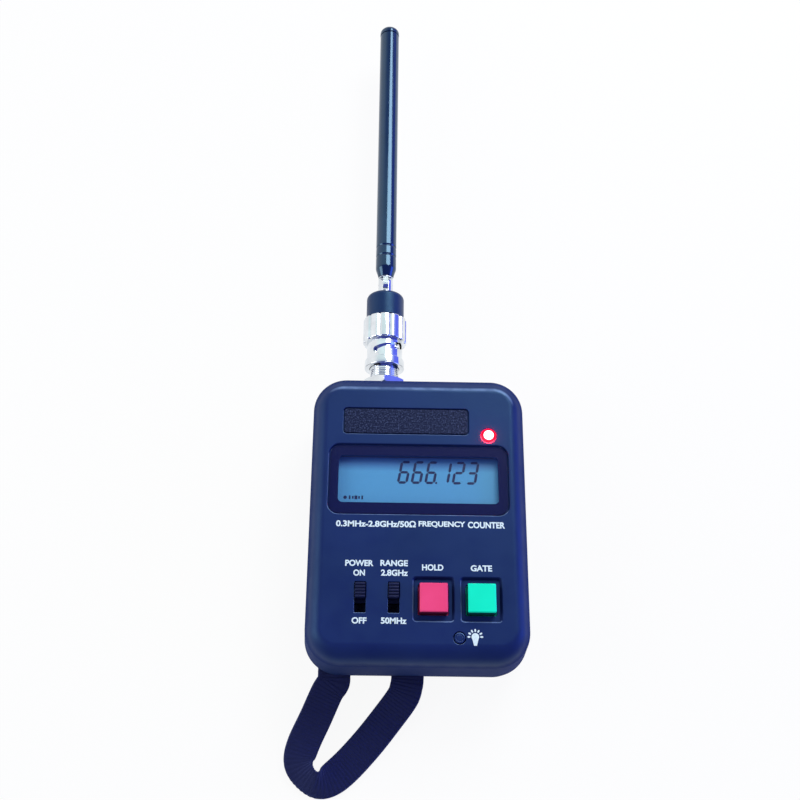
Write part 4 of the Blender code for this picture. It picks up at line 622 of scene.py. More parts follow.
def front_cover(look):
    outer = [(0, FRONT_START)] + front_profile(0, ridge=0.75 * MM)
    step = FRONT_START + LIP_HEIGHT + 0.15 * MM
    inner = [(REBATE, FRONT_START), (REBATE, step), (CASE_WALL, step)] + front_profile(CASE_WALL)
    rings = [case_ring(*point) for point in reversed(inner)] + [outer_ring(*point) for point in outer]
    cover = lofted("front_cover", rings)
    in_panel = PANEL_Z - CASE_WALL / 2
    bosses = []
    for number, spot in enumerate(SCREW_PLACES):
        profile = [(0, FRONT_START), (2.9 * MM, FRONT_START), (2.9 * MM, BOARD_SEAT), (3.4 * MM, BOARD_SEAT)]
        bosses.append(turned(f"boss_{number}", profile + [(3.4 * MM, in_panel), (0, in_panel)], "Z", (*spot, 0), 32))
    for number, spot in enumerate(POST_PLACES):
        bosses.append(rod(f"post_{number}", 2.1 * MM, BOARD_SEAT, in_panel, spot))
    join(cover, *bosses)
    tools = [rod(f"bore_{i}", 1.25 * MM, FRONT_START - OVER, 16 * MM, spot) for i, spot in enumerate(SCREW_PLACES)]
    tools += [rod(f"thin_bore_{i}", 1 * MM, 18 * MM, 25 * MM, spot) for i, spot in enumerate(POST_PLACES)]
    under = PANEL_Z - CASE_WALL - OVER
    tools.append(stacked("window", rect(WINDOW), lip_levels(PANEL_Z - 1.2 * MM, PANEL_Z, 0.3 * MM)))
    tools.append(stacked("view", rect(VIEW), lip_levels(under, PANEL_Z - 1.2 * MM, 0.25 * MM)))
    x, y, width, length, radius = PLATE
    seat = (x, y, width + 0.75 * MM, length + 0.75 * MM, radius + 0.35 * MM)
    tools.append(stacked("plate_seat", rect(seat), lip_levels(PANEL_Z - 0.8 * MM, PANEL_Z, 0.22 * MM)))
    tools.append(stacked("led_hole", lambda g: circle(1.86 * MM + g, LED_PLACE), lip_levels(under, PANEL_Z, 0.9 * MM)))
    tools.append(stacked("lamp_hole", lambda g: circle(1.85 * MM + g, LAMP_PLACE), lip_levels(under, PANEL_Z, 0.2 * MM)))
    for name, spot in SLOTS.items():
        slot = (*spot, 3.4 * MM, 9.1 * MM, 0.2 * MM)
        tools.append(stacked(f"{name}_slot", rect(slot, 4), lip_levels(under, PANEL_Z, 0.2 * MM)))
    for name, (x, y) in BUTTONS.items():
        tools.append(pocket(name, (x, y)))
        hole = (x, y, 9 * MM, 9 * MM, 0.4 * MM)
        tools.append(stacked(f"{name}_hole", rect(hole, 4), lip_levels(under, PANEL_Z - 1.3 * MM, 0.15 * MM)))
    tools.append(hole_along("jack_hole", 5.05 * MM, AXIS_X, AXIS_Z, 0.2 * MM))
    tools.append(hole_along("socket_hole", 3.3 * MM, SOCKET_X, SOCKET_Z, 0.3 * MM))
    cut(cover, *tools)
    return place(cover, look, "case", "black_plastic", ["front_shell"], 32)


def pocket(name, spot):
    """The sloping recess round a push button, with a rounded upper edge."""
    slope, depth, lip = 0.5 * MM, 1.3 * MM, 0.3 * MM
    levels = [(-slope, PANEL_Z - depth), (-slope * lip / depth, PANEL_Z - lip)]
    for step in range(1, 5):
        angle = math.pi / 2 * step / 4
        levels.append((lip * (1 - math.cos(angle)), PANEL_Z - lip + lip * math.sin(angle)))
    levels.append((lip, PANEL_Z + OVER))
    return stacked(f"{name}_pocket", rect((*spot, 12 * MM, 13 * MM, 1.0 * MM), 6), levels)


def rear_cover(look):
    lip_top = REAR_TOP + LIP_HEIGHT
    outer = back_profile(0) + [(0, REAR_TOP)]
    inner = [(TONGUE, REAR_TOP), (TONGUE, lip_top), (CASE_WALL, lip_top)] + list(reversed(back_profile(CASE_WALL)))
    cover = lofted("rear_cover", [outer_ring(*point) for point in outer] + [case_ring(*point) for point in inner])
    posts = [rod(f"post_{i}", 3.2 * MM, 1.1 * MM, REAR_TOP, spot) for i, spot in enumerate(SCREW_PLACES)]
    for i, x in enumerate((-30.7, -18.9, -8.3, 3.5)):
        low = ((x - 0.6) * MM, -40.2 * MM, 1.1 * MM)
        posts.append(box(f"holder_{i}", low, ((x + 0.6) * MM, -35.8 * MM, REAR_TOP - 0.3 * MM)))
    join(cover, *posts)
    tools = [turned("bar_hole", [(0, -31.6 * MM), (1 * MM, -31.6 * MM), (1 * MM, 4.4 * MM), (0, 4.4 * MM)],
                    "X", (0, -38 * MM, 7.4 * MM), 32)]
    for i, spot in enumerate(SCREW_PLACES):
        tools.append(rod(f"shank_hole_{i}", 1.35 * MM, -OVER, 11 * MM, spot))
        lip = 0.25 * MM
        profile = [(0, 2.4 * MM), (2.5 * MM, 2.4 * MM), (2.5 * MM, lip)]
        profile += [(2.5 * MM + lip * (1 - math.cos(a)), lip - lip * math.sin(a)) for a in (0.4, 0.8, 1.2, math.pi / 2)]
        profile += [(2.5 * MM + lip, -OVER), (0, -OVER)]
        tools.append(turned(f"counterbore_{i}", profile, "Z", (*spot, 0), 48))
    for name, x in (("left", -24.8 * MM), ("right", -2.4 * MM)):
        rings = []
        lip = 0.35 * MM
        levels = [(0, -40.5 * MM), (0, -45 * MM + lip)]
        levels += [(lip * (1 - math.cos(a)), -45 * MM + lip - lip * math.sin(a)) for a in (0.4, 0.8, 1.2, math.pi / 2)]
        for grow, y in levels + [(lip, -46 * MM)]:
            outline = rounded(10.7 * MM + 2 * grow, 1.9 * MM + 2 * grow, 0.35 * MM + grow, (x, 5.6 * MM), 4)
            rings.append([(px, y, pz) for px, pz in outline])
        tools.append(lofted(f"strap_slot_{name}", rings))
        low = (x - 5.1 * MM, -41.5 * MM, 4.65 * MM)
        tools.append(box(f"strap_way_{name}", low, (x + 5.1 * MM, -38 * MM, 10.15 * MM)))
    tools.append(hole_along("jack_notch", 5.05 * MM, AXIS_X, AXIS_Z, 0.2 * MM))
    tools.append(hole_along("socket_notch", 3.3 * MM, SOCKET_X, SOCKET_Z, 0.3 * MM))
    cut(cover, *tools)
    return place(cover, look, "case", "black_plastic", ["rear_shell"], 32)


def case_screws(look):
    for number, spot in enumerate(SCREW_PLACES, 1):
        crown = 0.15 * MM
        profile = [(0, 0.5 * MM), (1.6 * MM, 0.5 * MM + crown * 0.2), (2.05 * MM, 0.5 * MM + crown),
                   (2.2 * MM, 0.5 * MM + 0.4 * MM), (2.2 * MM, 2.1 * MM), (1.15 * MM, 2.1 * MM), (1.15 * MM, 15 * MM),
                   (0, 15 * MM)]
        screw = turned(f"screw_{number}", profile, "Z", (*spot, 0), 48)
        x, y = spot
        arms = []
        for name, half in (("a", (1.25 * MM, 0.24 * MM)), ("b", (0.24 * MM, 1.25 * MM))):
            rings = []
            for share, z in ((1.0, 0), (0.45, 1.5 * MM)):
                w, l = 2 * half[0] * share, 2 * half[1] * share
                rings.append([(px, py, z) for px, py in rounded(w, l, 0.05 * MM, (x, y), 2)])
            arms.append(lofted(f"cross_{name}", rings))
        cut(screw, *arms)
        place(screw, look, "case", "steel", [f"case_screw_{number}"])


def charging_socket(look, pin_look):
    """The socket block behind its hole in the top wall, and the bright pin in its middle."""
    low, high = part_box("charging_socket")
    x, z = SOCKET_X, SOCKET_Z
    block = box("socket_block", low, high)
    floor, front = high.y - 9 * MM, high.y
    bore = [(0, floor), (2.8 * MM, floor), (2.8 * MM, front - 0.2 * MM), (3.0 * MM, front), (3.0 * MM, front + OVER)]
    cut(block, turned("bore", bore + [(0, front + OVER)], "Y", (x, 0, z), 48))
    bevelled(block, 0.12 * MM, 2)
    place(block, look, "case", "black_plastic", ["charging_socket"])
    tip = front - 0.15 * MM
    profile = [(0, floor - 0.1 * MM), (1 * MM, floor - 0.1 * MM), (1 * MM, tip - 0.4 * MM), (0.8 * MM, tip - 0.1 * MM)]
    pin = turned("socket_pin", profile + [(0, tip)], "Y", (x, 0, z), 32)
    place(pin, pin_look, "case", "chrome")


# ---- display


def display(looks):
    low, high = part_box("display_window")
    x, y, width, length, radius = WINDOW
    pane = (x, y, width - 0.6 * MM, length - 0.6 * MM, radius - 0.3 * MM)
    levels = [(-0.06 * MM, low.z), (0, low.z + 0.06 * MM), (0, high.z - 0.1 * MM), (-0.04 * MM, high.z - 0.03 * MM)]
    window = stacked("window_pane", rect(pane, 14), levels + [(-0.12 * MM, high.z)])
    place(window, looks["pane"], "case", "clear_window", ["display_window"])
    border = stacked("window_border", rect(pane, 14), [(-0.08 * MM, low.z - 0.1 * MM), (-0.08 * MM, low.z - 0.02 * MM)])
    cut(border, stacked("border_hole", rect(VIEW, 14), [(0, low.z - OVER), (0, low.z + OVER)]))
    place(border, looks["border"], "case", "clear_window")
    low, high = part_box("lcd_glass")
    middle = (low.z + high.z) / 2
    front = box("display_front_glass", (low.x, low.y, middle), high)
    place(bevelled(front, 0.08 * MM, 2), looks["display"], "case", "display_glass", ["lcd_glass"])
    back = box("display_rear_glass", low, (high.x, high.y - 1.2 * MM, middle))
    place(bevelled(back, 0.08 * MM, 2), looks["glass"], "case", "display_glass")
    digits(looks["segments"], high.z)


SEGMENTS = {"0": "abcdef", "1": "bc", "2": "abged", "3": "abgcd", "4": "fgbc", "5": "afgcd", "6": "afgecd",
            "7": "abc", "8": "abcdefg", "9": "abcdfg"}
SHOWN = "666.123"
DIGIT_WIDTH = 2.55 * MM
DIGIT_HEIGHT = 6.6 * MM
DIGIT_PITCH = 4.2 * MM
DIGIT_SLANT = 0.18
DIGIT_STROKE = 0.8 * MM
DIGITS_START = (-6.2 * MM, 10.3 * MM)


def bar(start, end, stroke):
    """A display segment with pointed ends."""
    start, end = Vector(start), Vector(end)
    along = (end - start).normalized()
    side = Vector((-along.y, along.x)) * stroke / 2
    start, end = start + along * stroke * 0.1, end - along * stroke * 0.1
    inner = along * stroke / 2
    return [start, start + inner - side, end - inner - side, end, end - inner + side, start + inner + side]


def slab(name, outlines, low, high):
    """Flat shapes as thin solids, all in one mesh."""
    points, faces = [], []
    for outline in outlines:
        start, count = len(points), len(outline)
        points += [(p[0], p[1], low) for p in outline] + [(p[0], p[1], high) for p in outline]
        faces.append(tuple(range(start + count, start + 2 * count)))
        faces.append(tuple(reversed(range(start, start + count))))
        for i in range(count):
            j = (i + 1) % count
            faces.append((start + i, start + j, start + count + j, start + count + i))
    return add_mesh(name, points, faces)


def digits(look, top):
    outlines = []
    x, base = DIGITS_START
    w, h = DIGIT_WIDTH, DIGIT_HEIGHT
    ends = {"a": ((0, h), (w, h)), "b": ((w, h), (w, h / 2)), "c": ((w, h / 2), (w, 0)), "d": ((0, 0), (w, 0)),
            "e": ((0, h / 2), (0, 0)), "f": ((0, h), (0, h / 2)), "g": ((0, h / 2), (w, h / 2))}
    for sign in SHOWN:
        if sign == ".":
            spot = (x - (DIGIT_PITCH - w) / 2 - 0.1 * MM, base)
            outlines.append(rounded(0.6 * MM, 0.6 * MM, 0.1 * MM, spot, 2))
            continue
        for segment in SEGMENTS[sign]:
            start, end = ends[segment]
            line = bar(start, end, DIGIT_STROKE)
            outlines.append([(x + p.x + DIGIT_SLANT * p.y, base + p.y) for p in line])
        x += DIGIT_PITCH
    shown = slab("display_digits", outlines, top, top + 0.03 * MM)
    place(shown, look, "case", "display_glass")
    marks = [circle(0.55 * MM, (-22.3 * MM, 5.3 * MM), 24)]
    for step, width in enumerate((0.5, 0.5, 0.9, 0.5, 0.5)):
        spot = ((-20.9 + 0.95 * step) * MM, 5.3 * MM)
        marks.append(rounded(width * MM, (0.9 if step % 2 else 1.2) * MM, 0.08 * MM, spot, 2))
    place(slab("display_marks", marks, top, top + 0.03 * MM), look, "case", "display_glass")


# ---- front panel


def blank_plate(look):
    x, y, width, length, radius = PLATE
    low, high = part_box("nameplate")
    plate = stacked("blank_plate", rect(PLATE, 10), dome_levels(low.z, high.z, 0.12 * MM, 4))
    return place(plate, look, "case", "nameplate_metal", ["nameplate"])


def gate_light(look, wire):
    low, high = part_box("gate_led")
    base = 28.5 * MM
    profile = [(0, 26.4 * MM), (2 * MM, 26.4 * MM), (2 * MM, base - 0.1 * MM), (1.9 * MM, base), (LED_RADIUS, base)]
    for step in range(17):
        angle = math.pi / 2 * step / 16
        profile.append((LED_RADIUS * math.cos(angle), high.z - LED_RADIUS * (1 - math.sin(angle))))
    lens = turned("gate_light", profile[:-1] + [(0, high.z)], "Z", (*LED_PLACE, 0), 48)
    place(lens, look, "case", "led_red", ["gate_led"])
    leads = []
    for side in (-1, 1):
        x, half = LED_PLACE[0] + side * 1.27 * MM, 0.25 * MM
        leads.append(box(f"lead_{side}", (x - half, LED_PLACE[1] - half, low.z), (x + half, LED_PLACE[1] + half, 26.6 * MM)))
    place(merged("gate_light_leads", leads), wire, "case", "steel")


def slide_knob(name, spot, look):
    """A ribbed slider: rounded ribs on its head, with the flange and stem under the panel."""
    low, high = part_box(f"{name}_knob")
    x, y = spot[0], spot[1] + 2 * MM
    half_w, half_l = 1.5 * MM, 2.3 * MM
    crown, dip = high.z, 0.45 * MM
    line = [(-half_l, crown - 2.5 * MM)]
    count = 5
    pitch = 2 * half_l / count
    for rib in range(count):
        for step in range(9):
            share = step / 9
            rise = dip * (math.sin(math.pi * share) ** 0.45 if step else 0)
            line.append((-half_l + (rib + share) * pitch, crown - dip + rise))
    line += [(half_l, crown - dip), (half_l, crown - 2.5 * MM)]
    edge = 0.12 * MM
    rings = []
    for px, drop in ((-half_w, edge), (-half_w + edge * 0.3, edge * 0.3), (-half_w + edge, 0), (half_w - edge, 0),
                     (half_w - edge * 0.3, edge * 0.3), (half_w, edge)):
        rings.append([(x + px, y + py * (1 - drop / half_l), pz - (drop if pz > crown - 2 * MM else 0)) for py, pz in line])
    head = lofted(f"{name}_head", rings)
    flange = box(f"{name}_flange", (x - 2.7 * MM, y - 3.3 * MM, 27.5 * MM), (x + 2.7 * MM, y + 3.3 * MM, 28.5 * MM))
    stem = box(f"{name}_stem", (x - 0.8 * MM, y - half_l, low.z), (x + 0.8 * MM, y + half_l, 28 * MM))
    base = box(f"{name}_base", (x - half_w, y - half_l, 28.4 * MM), (x + half_w, y + half_l, crown - 2.4 * MM))
    knob = merged(f"{name}_slider", [head, bevelled(flange, 0.1 * MM, 2), stem, base])
    place(knob, look, f"{name}_knob", "black_plastic", [f"{name}_knob"], 50)


def push_cap(name, spot, look):
    """A square push button: a flat face with a narrow bevel round it."""
    low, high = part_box(f"{name}_button")
    x, y = spot
    (width, length), edge = BUTTON_SIZE, 0.34 * MM
    levels = [(0, 27.6 * MM), (0, high.z - edge), (-0.12 * edge, high.z - 0.72 * edge), (-0.72 * edge, high.z - 0.12 * edge),
              (-edge, high.z)]
    rings = []
    for grow, z in levels:
        radius = 0.36 * MM + grow * 0.6
        rings.append([(px, py, z) for px, py in rounded(width + 2 * grow, length + 2 * grow, radius, (x, y), 6)])
    cap = lofted(f"{name}_head", rings)
    half = 5.1 * MM
    flange = box(f"{name}_flange", (x - half, y - half, 27.6 * MM), (x + half, y + half, 28.5 * MM))
    stem = box(f"{name}_stem", (x - 1.3 * MM, y - 1.3 * MM, low.z), (x + 1.3 * MM, y + 1.3 * MM, 28.05 * MM))
    piece = merged(f"{name}_cap", [cap, flange, stem])
    slot = {"hold": "red_button", "gate": "green_button"}[name]
    place(piece, look, f"{name}_button", slot, [f"{name}_button"], 22)


def light_cap(look):
    """The small round button: a flat top with a turned groove near its edge."""
    low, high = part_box("lamp_button")
    top = high.z
    profile = [(0, low.z), (0.9 * MM, low.z), (0.9 * MM, 27.7 * MM), (2.35 * MM, 27.7 * MM), (2.35 * MM, 28.5 * MM),
               (LAMP_RADIUS, 28.5 * MM), (LAMP_RADIUS, top - 0.2 * MM), (LAMP_RADIUS - 0.06 * MM, top - 0.06 * MM),
               (LAMP_RADIUS - 0.2 * MM, top), (1.12 * MM, top), (1.04 * MM, top - 0.12 * MM), (0.92 * MM, top - 0.12 * MM),
               (0.84 * MM, top), (0, top)]
    cap = turned("light_cap", profile, "Z", (*LAMP_PLACE, 0), 48)
    place(cap, look, "lamp_button", "black_plastic", ["lamp_button"])


def label(name, words, centre, width, height, look, weight=0.034):
    """Words on the panel in Blender's own font, scaled to the size that the photograph shows."""
    curve = bpy.data.curves.new(name, "FONT")
    curve.body = words
    curve.size = 1.0
    curve.offset = weight
    curve.resolution_u = 6
    text = link(name + "_curve", curve)
    graph = bpy.context.evaluated_depsgraph_get()
    mesh = bpy.data.meshes.new_from_object(text.evaluated_get(graph))
    bpy.data.objects.remove(text)
    xs = [v.co.x for v in mesh.vertices]
    ys = [v.co.y for v in mesh.vertices]
    middle = Vector(((min(xs) + max(xs)) / 2, (min(ys) + max(ys)) / 2, 0))
    scale_x = width * MM / (max(xs) - min(xs))
    scale_y = height * MM / (max(ys) - min(ys))
    work = bmesh.new()
    work.from_mesh(mesh)
    bmesh.ops.remove_doubles(work, verts=work.verts, dist=1e-5)
    for vertex in work.verts:
        flat = vertex.co - middle
        vertex.co = (flat.x * scale_x + centre[0] * MM, flat.y * scale_y + centre[1] * MM, TEXT_Z)
    made = bmesh.ops.extrude_face_region(work, geom=work.faces[:])
    for item in made["geom"]:
        if isinstance(item, bmesh.types.BMVert):
            item.co.z += TEXT_RISE
    bmesh.ops.recalc_face_normals(work, faces=work.faces)
    work.to_mesh(mesh)
    work.free()
    piece = link(name, mesh)
    place(piece, look, "case", "black_plastic")
    return piece


LABELS = (
    ("label_span", "0.3MHz-2.8GHz/50Ω", (-12.73, -3.86), 23.85, 2.0),
    ("label_title_1", "FREQUENCY", (6.99, -3.86), 13.98, 2.0),
    ("label_title_2", "COUNTER", (20.29, -3.86), 11.12, 2.0),
    ("label_power", "POWER", (-17.4, -15.9), 8.3, 1.86),
    ("label_on", "ON", (-17.4, -18.8), 3.4, 1.86),
    ("label_off", "OFF", (-17.1, -32.8), 4.3, 1.86),
    ("label_range", "RANGE", (-7.16, -15.8), 8.1, 1.86),
    ("label_high", "2.8GHz", (-7.04, -18.7), 7.9, 1.86),
    ("label_low", "50MHz", (-7.1, -32.75), 7.4, 1.86),
    ("label_hold", "HOLD", (4.19, -16.96), 6.3, 1.86),
    ("label_gate", "GATE", (18.53, -17.03), 6.3, 1.86),
)


def light_icon(look):
    """A lamp sign: a solid bulb that narrows to its base, and seven rays."""
    x, y, bulb = 16.4 * MM, -37.1 * MM, 1.1 * MM
    turns = [math.radians(-35 + 250 * step / 24) for step in range(25)]
    narrow = 0.42 * MM
    shape = [(x + bulb * math.cos(a), y + bulb * math.sin(a)) for a in turns]
    outlines = [shape + [(x - narrow, y - 2.5 * MM), (x + narrow, y - 2.5 * MM)]]
    for i in range(7):
        angle = math.radians(30 * i)
        turn = Matrix.Rotation(angle, 2)
        ray = rounded(0.85 * MM, 0.5 * MM, 0.24 * MM, (1.85 * MM, 0), 4)
        outlines.append([tuple(turn @ Vector(point) + Vector((x, y))) for point in ray])
    place(slab("label_light", outlines, TEXT_Z, TEXT_Z + TEXT_RISE), look, "case", "black_plastic")


# ---- connector and antenna

JACK_FACE = 65.2 * MM
LUG_Y = 61 * MM
LUG_ANGLE = math.radians(62)
NUT_FRONT = 53.6 * MM
NUT_BACK = 71.5 * MM


def spoke(name, y, angle, radius, inner, outer, sides=24):
    piece = turned(name, [(0, inner), (radius, inner), (radius, outer), (0, outer)], "Z", (0, 0, 0), sides)
    piece.data.transform(Matrix.Translation((AXIS_X, y, AXIS_Z)) @ Matrix.Rotation(angle, 4, "Y"))
    return piece


def jack(looks):
    back, flange = 40.9 * MM, 42.5 * MM
    profile = [(2.7 * MM, back), (6.2 * MM, back), (6.2 * MM, flange), (4.75 * MM, flange), (4.75 * MM, 45 * MM)]
    y, pitch = 45 * MM, 0.62 * MM
    while y < 52.4 * MM:
        profile += [(4.75 * MM, y + pitch * 0.12), (4.5 * MM, y + pitch * 0.45), (4.5 * MM, y + pitch * 0.55),
                    (4.75 * MM, y + pitch * 0.88)]
        y += pitch
    profile += [(4.75 * MM, 53 * MM), (4.83 * MM, 53.1 * MM), (4.83 * MM, JACK_FACE - 0.2 * MM),
                (4.63 * MM, JACK_FACE), (4.3 * MM, JACK_FACE), (4.12 * MM, JACK_FACE - 0.2 * MM),
                (4.12 * MM, 55.8 * MM), (2.7 * MM, 55.8 * MM)]
    body = turned("jack_barrel", profile, sides=72, tube=True)
    lugs = [spoke(f"lug_{i}", LUG_Y, LUG_ANGLE + math.pi * i, 1 * MM, 4.5 * MM, 5.45 * MM) for i in (0, 1)]
    join(body, *lugs)
    place(body, looks["chrome"], "case", "chrome", ["jack_body"])
    low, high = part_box("jack_washer")
    edge = 0.12 * MM
    ring = [(4.85 * MM, low.y), (7 * MM - edge, low.y), (7 * MM, low.y + edge), (7 * MM, high.y - edge),
            (7 * MM - edge, high.y), (4.85 * MM, high.y)]
    place(turned("jack_ring", ring, tube=True), looks["steel"], "case", "steel", ["jack_washer"])
    low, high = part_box("jack_nut")
    corner = 6.35 * MM / math.cos(math.pi / 6)
    hexagon = turned("jack_hexagon", [(0, low.y), (corner, low.y), (corner, high.y), (0, high.y)], sides=6)
    skin = [(0, low.y), (6.5 * MM, low.y), (corner, low.y + 0.45 * MM), (corner, high.y - 0.45 * MM), (6.5 * MM, high.y),
            (0, high.y)]
    boolean(hexagon, [turned("skin", skin)], "INTERSECT")
    cut(hexagon, turned("hole", [(0, low.y - OVER), (4.85 * MM, low.y - OVER), (4.85 * MM, high.y + OVER),
                                 (0, high.y + OVER)]))
    place(bevelled(hexagon, 0.08 * MM, 2), looks["chrome"], "case", "chrome", ["jack_nut"])


def coupling_nut(look):
    rim, barrel, edge = 6.55 * MM, 5.9 * MM, 0.2 * MM
    ring_start, barrel_start = 62.7 * MM, 56.5 * MM
    profile = [(0, NUT_FRONT), (rim - edge, NUT_FRONT), (rim - edge * 0.3, NUT_FRONT + edge * 0.3),
               (rim, NUT_FRONT + edge), (rim, barrel_start - 0.35 * MM), (rim - 0.1 * MM, barrel_start - 0.12 * MM),
               (rim - 0.35 * MM, barrel_start), (barrel + 0.05 * MM, barrel_start + 0.02 * MM),
               (barrel, barrel_start + 0.1 * MM), (barrel, 63.5 * MM), (0, 63.5 * MM)]
    nut = turned("bayonet_nut", profile, sides=96)
    rings = []
    soft = 0.5 * MM
    spans = [(ring_start + soft * (1 - math.sin(a)), soft * (1 - math.cos(a))) for a in (1.57, 1.1, 0.6, 0.0)]
    spans += [(NUT_BACK - soft * (1 - math.sin(a)), soft * (1 - math.cos(a))) for a in (0.0, 0.6, 1.1, 1.57)]
    for along, inset in spans:
        outline = []
        count = 12 * 14
        for i in range(count):
            angle = 2 * math.pi * i / count
            wave = 0.5 - 0.5 * math.cos(12 * angle)
            radius = 7.25 * MM - inset - 0.5 * MM * max(0.0, (wave - 0.72) / 0.28) ** 1.3
            outline.append((AXIS_X + radius * math.cos(angle), along, AXIS_Z + radius * math.sin(angle)))
        rings.append(outline)
    join(nut, lofted("grip", rings))
    sleeve, chamber, neck = 4.98 * MM, 5.8 * MM, 4.2 * MM
    start, end = JACK_FACE + 0.3 * MM, NUT_BACK - 2.2 * MM
    bore = [(0, NUT_FRONT - OVER), (sleeve, NUT_FRONT - OVER), (sleeve, start), (chamber, start), (chamber, end),
            (neck, end), (neck, NUT_BACK + OVER), (0, NUT_BACK + OVER)]
    cut(nut, turned("bore", bore, sides=96))
    half, inner, through = 1.15 * MM, 4.4 * MM, 6.9 * MM
    tools = []
    for side in (0, 1):
        start_angle = LUG_ANGLE + math.pi * side
        rings = []
        for step in range(31):
            share = step / 30
            angle, y = start_angle - math.pi / 2 * share, LUG_Y - 2.2 * MM * share
            across = Vector((math.sin(angle), 0, math.cos(angle)))
            corners = ((inner, -half), (through, -half), (through, half), (inner, half))
            rings.append([Vector((AXIS_X, y + rise, AXIS_Z)) + across * radius for radius, rise in corners])
        tools.append(lofted(f"track_{side}", rings))
        tools.append(spoke(f"locked_{side}", LUG_Y, start_angle, half, inner, through, 32))
        free = start_angle - math.pi / 2
        tools.append(spoke(f"free_{side}", LUG_Y - 2.2 * MM, free, half, inner, through, 32))
        groove = box(f"groove_{side}", (-half, NUT_FRONT - OVER, inner), (half, LUG_Y - 2.2 * MM, 5.6 * MM))
        groove.data.transform(Matrix.Translation((AXIS_X, 0, AXIS_Z)) @ Matrix.Rotation(free, 4, "Y"))
        tools.append(groove)
    cut(nut, *tools)
    place(nut, look, "coupling_nut", "chrome", ["coupling_nut"])


def collar(look):
    front, back, shoulder = 71.8 * MM, 80.7 * MM, 79.1 * MM
    profile = [(0, front), (6.1 * MM, front), (6.24 * MM, front + 0.06 * MM), (6.3 * MM, front + 0.2 * MM)]
    for step in range(13):
        angle = math.pi / 2 * step / 12
        profile.append((5 * MM + 1.3 * MM * math.cos(angle), shoulder + 1.6 * MM * math.sin(angle)))
    piece = turned("collar_sleeve", profile + [(0, back)], sides=72)
    cut(piece, turned("neck", [(0, front - OVER), (4.2 * MM, front - OVER), (4.2 * MM, 76.3 * MM), (0, 76.3 * MM)]),
        turned("seat", [(0, 76.8 * MM), (2.6 * MM, 76.8 * MM), (2.6 * MM, back + OVER), (0, back + OVER)]))
    place(piece, look, "plug", "black_plastic", ["antenna_collar"])


def elbow(looks):
    root, pivot, radius = 77.1 * MM, 84.9 * MM, 2.5 * MM
    fork = turned("elbow_yoke", [(0, root), (radius, root), (radius, pivot), (0, pivot)], sides=48)
    crown = turned("crown", [(0, -radius), (radius, -radius), (radius, radius), (0, radius)], "X",
                   (AXIS_X, pivot, AXIS_Z), 48)
    join(fork, crown)
    skin = turned("skin", [(0, root - OVER), (radius, root - OVER), (radius, pivot + 3 * MM), (0, pivot + 3 * MM)],
                  sides=48)
    boolean(fork, [skin], "INTERSECT")
    half = 0.9 * MM
    slot_floor = pivot - 2.6 * MM
    cut(fork, box("slot", (AXIS_X - half, slot_floor, 0.005), (AXIS_X + half, pivot + 0.01, 0.03)),
        turned("pin_hole", [(0, -0.005), (0.65 * MM, -0.005), (0.65 * MM, 0.005), (0, 0.005)], "X",
               (AXIS_X, pivot, AXIS_Z), 32))
    place(bevelled(fork, 0.1 * MM, 2), looks["chrome"], "plug", "chrome", ["elbow_fork"])
    reach = 2.33 * MM
    pin = [(0, -reach), (0.45 * MM, -reach), (0.6 * MM, -reach + 0.12 * MM), (0.6 * MM, reach - 0.12 * MM),
           (0.45 * MM, reach), (0, reach)]
    place(turned("elbow_rivet", pin, "X", (AXIS_X, pivot, AXIS_Z), 32), looks["steel"], "plug", "steel", ["elbow_pin"])
    half, round_radius = 0.8 * MM, 2.3 * MM
    tang = turned("elbow_tongue", [(0, -half), (round_radius, -half), (round_radius, half), (0, half)], "X",
                  (AXIS_X, pivot, AXIS_Z), 48)
    start = pivot + 2.85 * MM
    web = box("web", (AXIS_X - half, pivot, AXIS_Z - 2.27 * MM), (AXIS_X + half, start + 0.2 * MM, AXIS_Z + 2.27 * MM))
    low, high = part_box("elbow_tang")
    stub = [(0, start), (2.4 * MM, start), (2.55 * MM, start + 0.08 * MM), (2.55 * MM, start + 0.15 * MM),
            (2.04 * MM, start + 0.15 * MM), (2.04 * MM, high.y), (0, high.y)]
    join(tang, web, turned("stub", stub, sides=48))
    cut(tang, turned("hole", [(0, -0.005), (0.65 * MM, -0.005), (0.65 * MM, 0.005), (0, 0.005)], "X",
                     (AXIS_X, pivot, AXIS_Z), 32))
    place(tang, looks["chrome"], "antenna", "chrome", ["elbow_tang"])


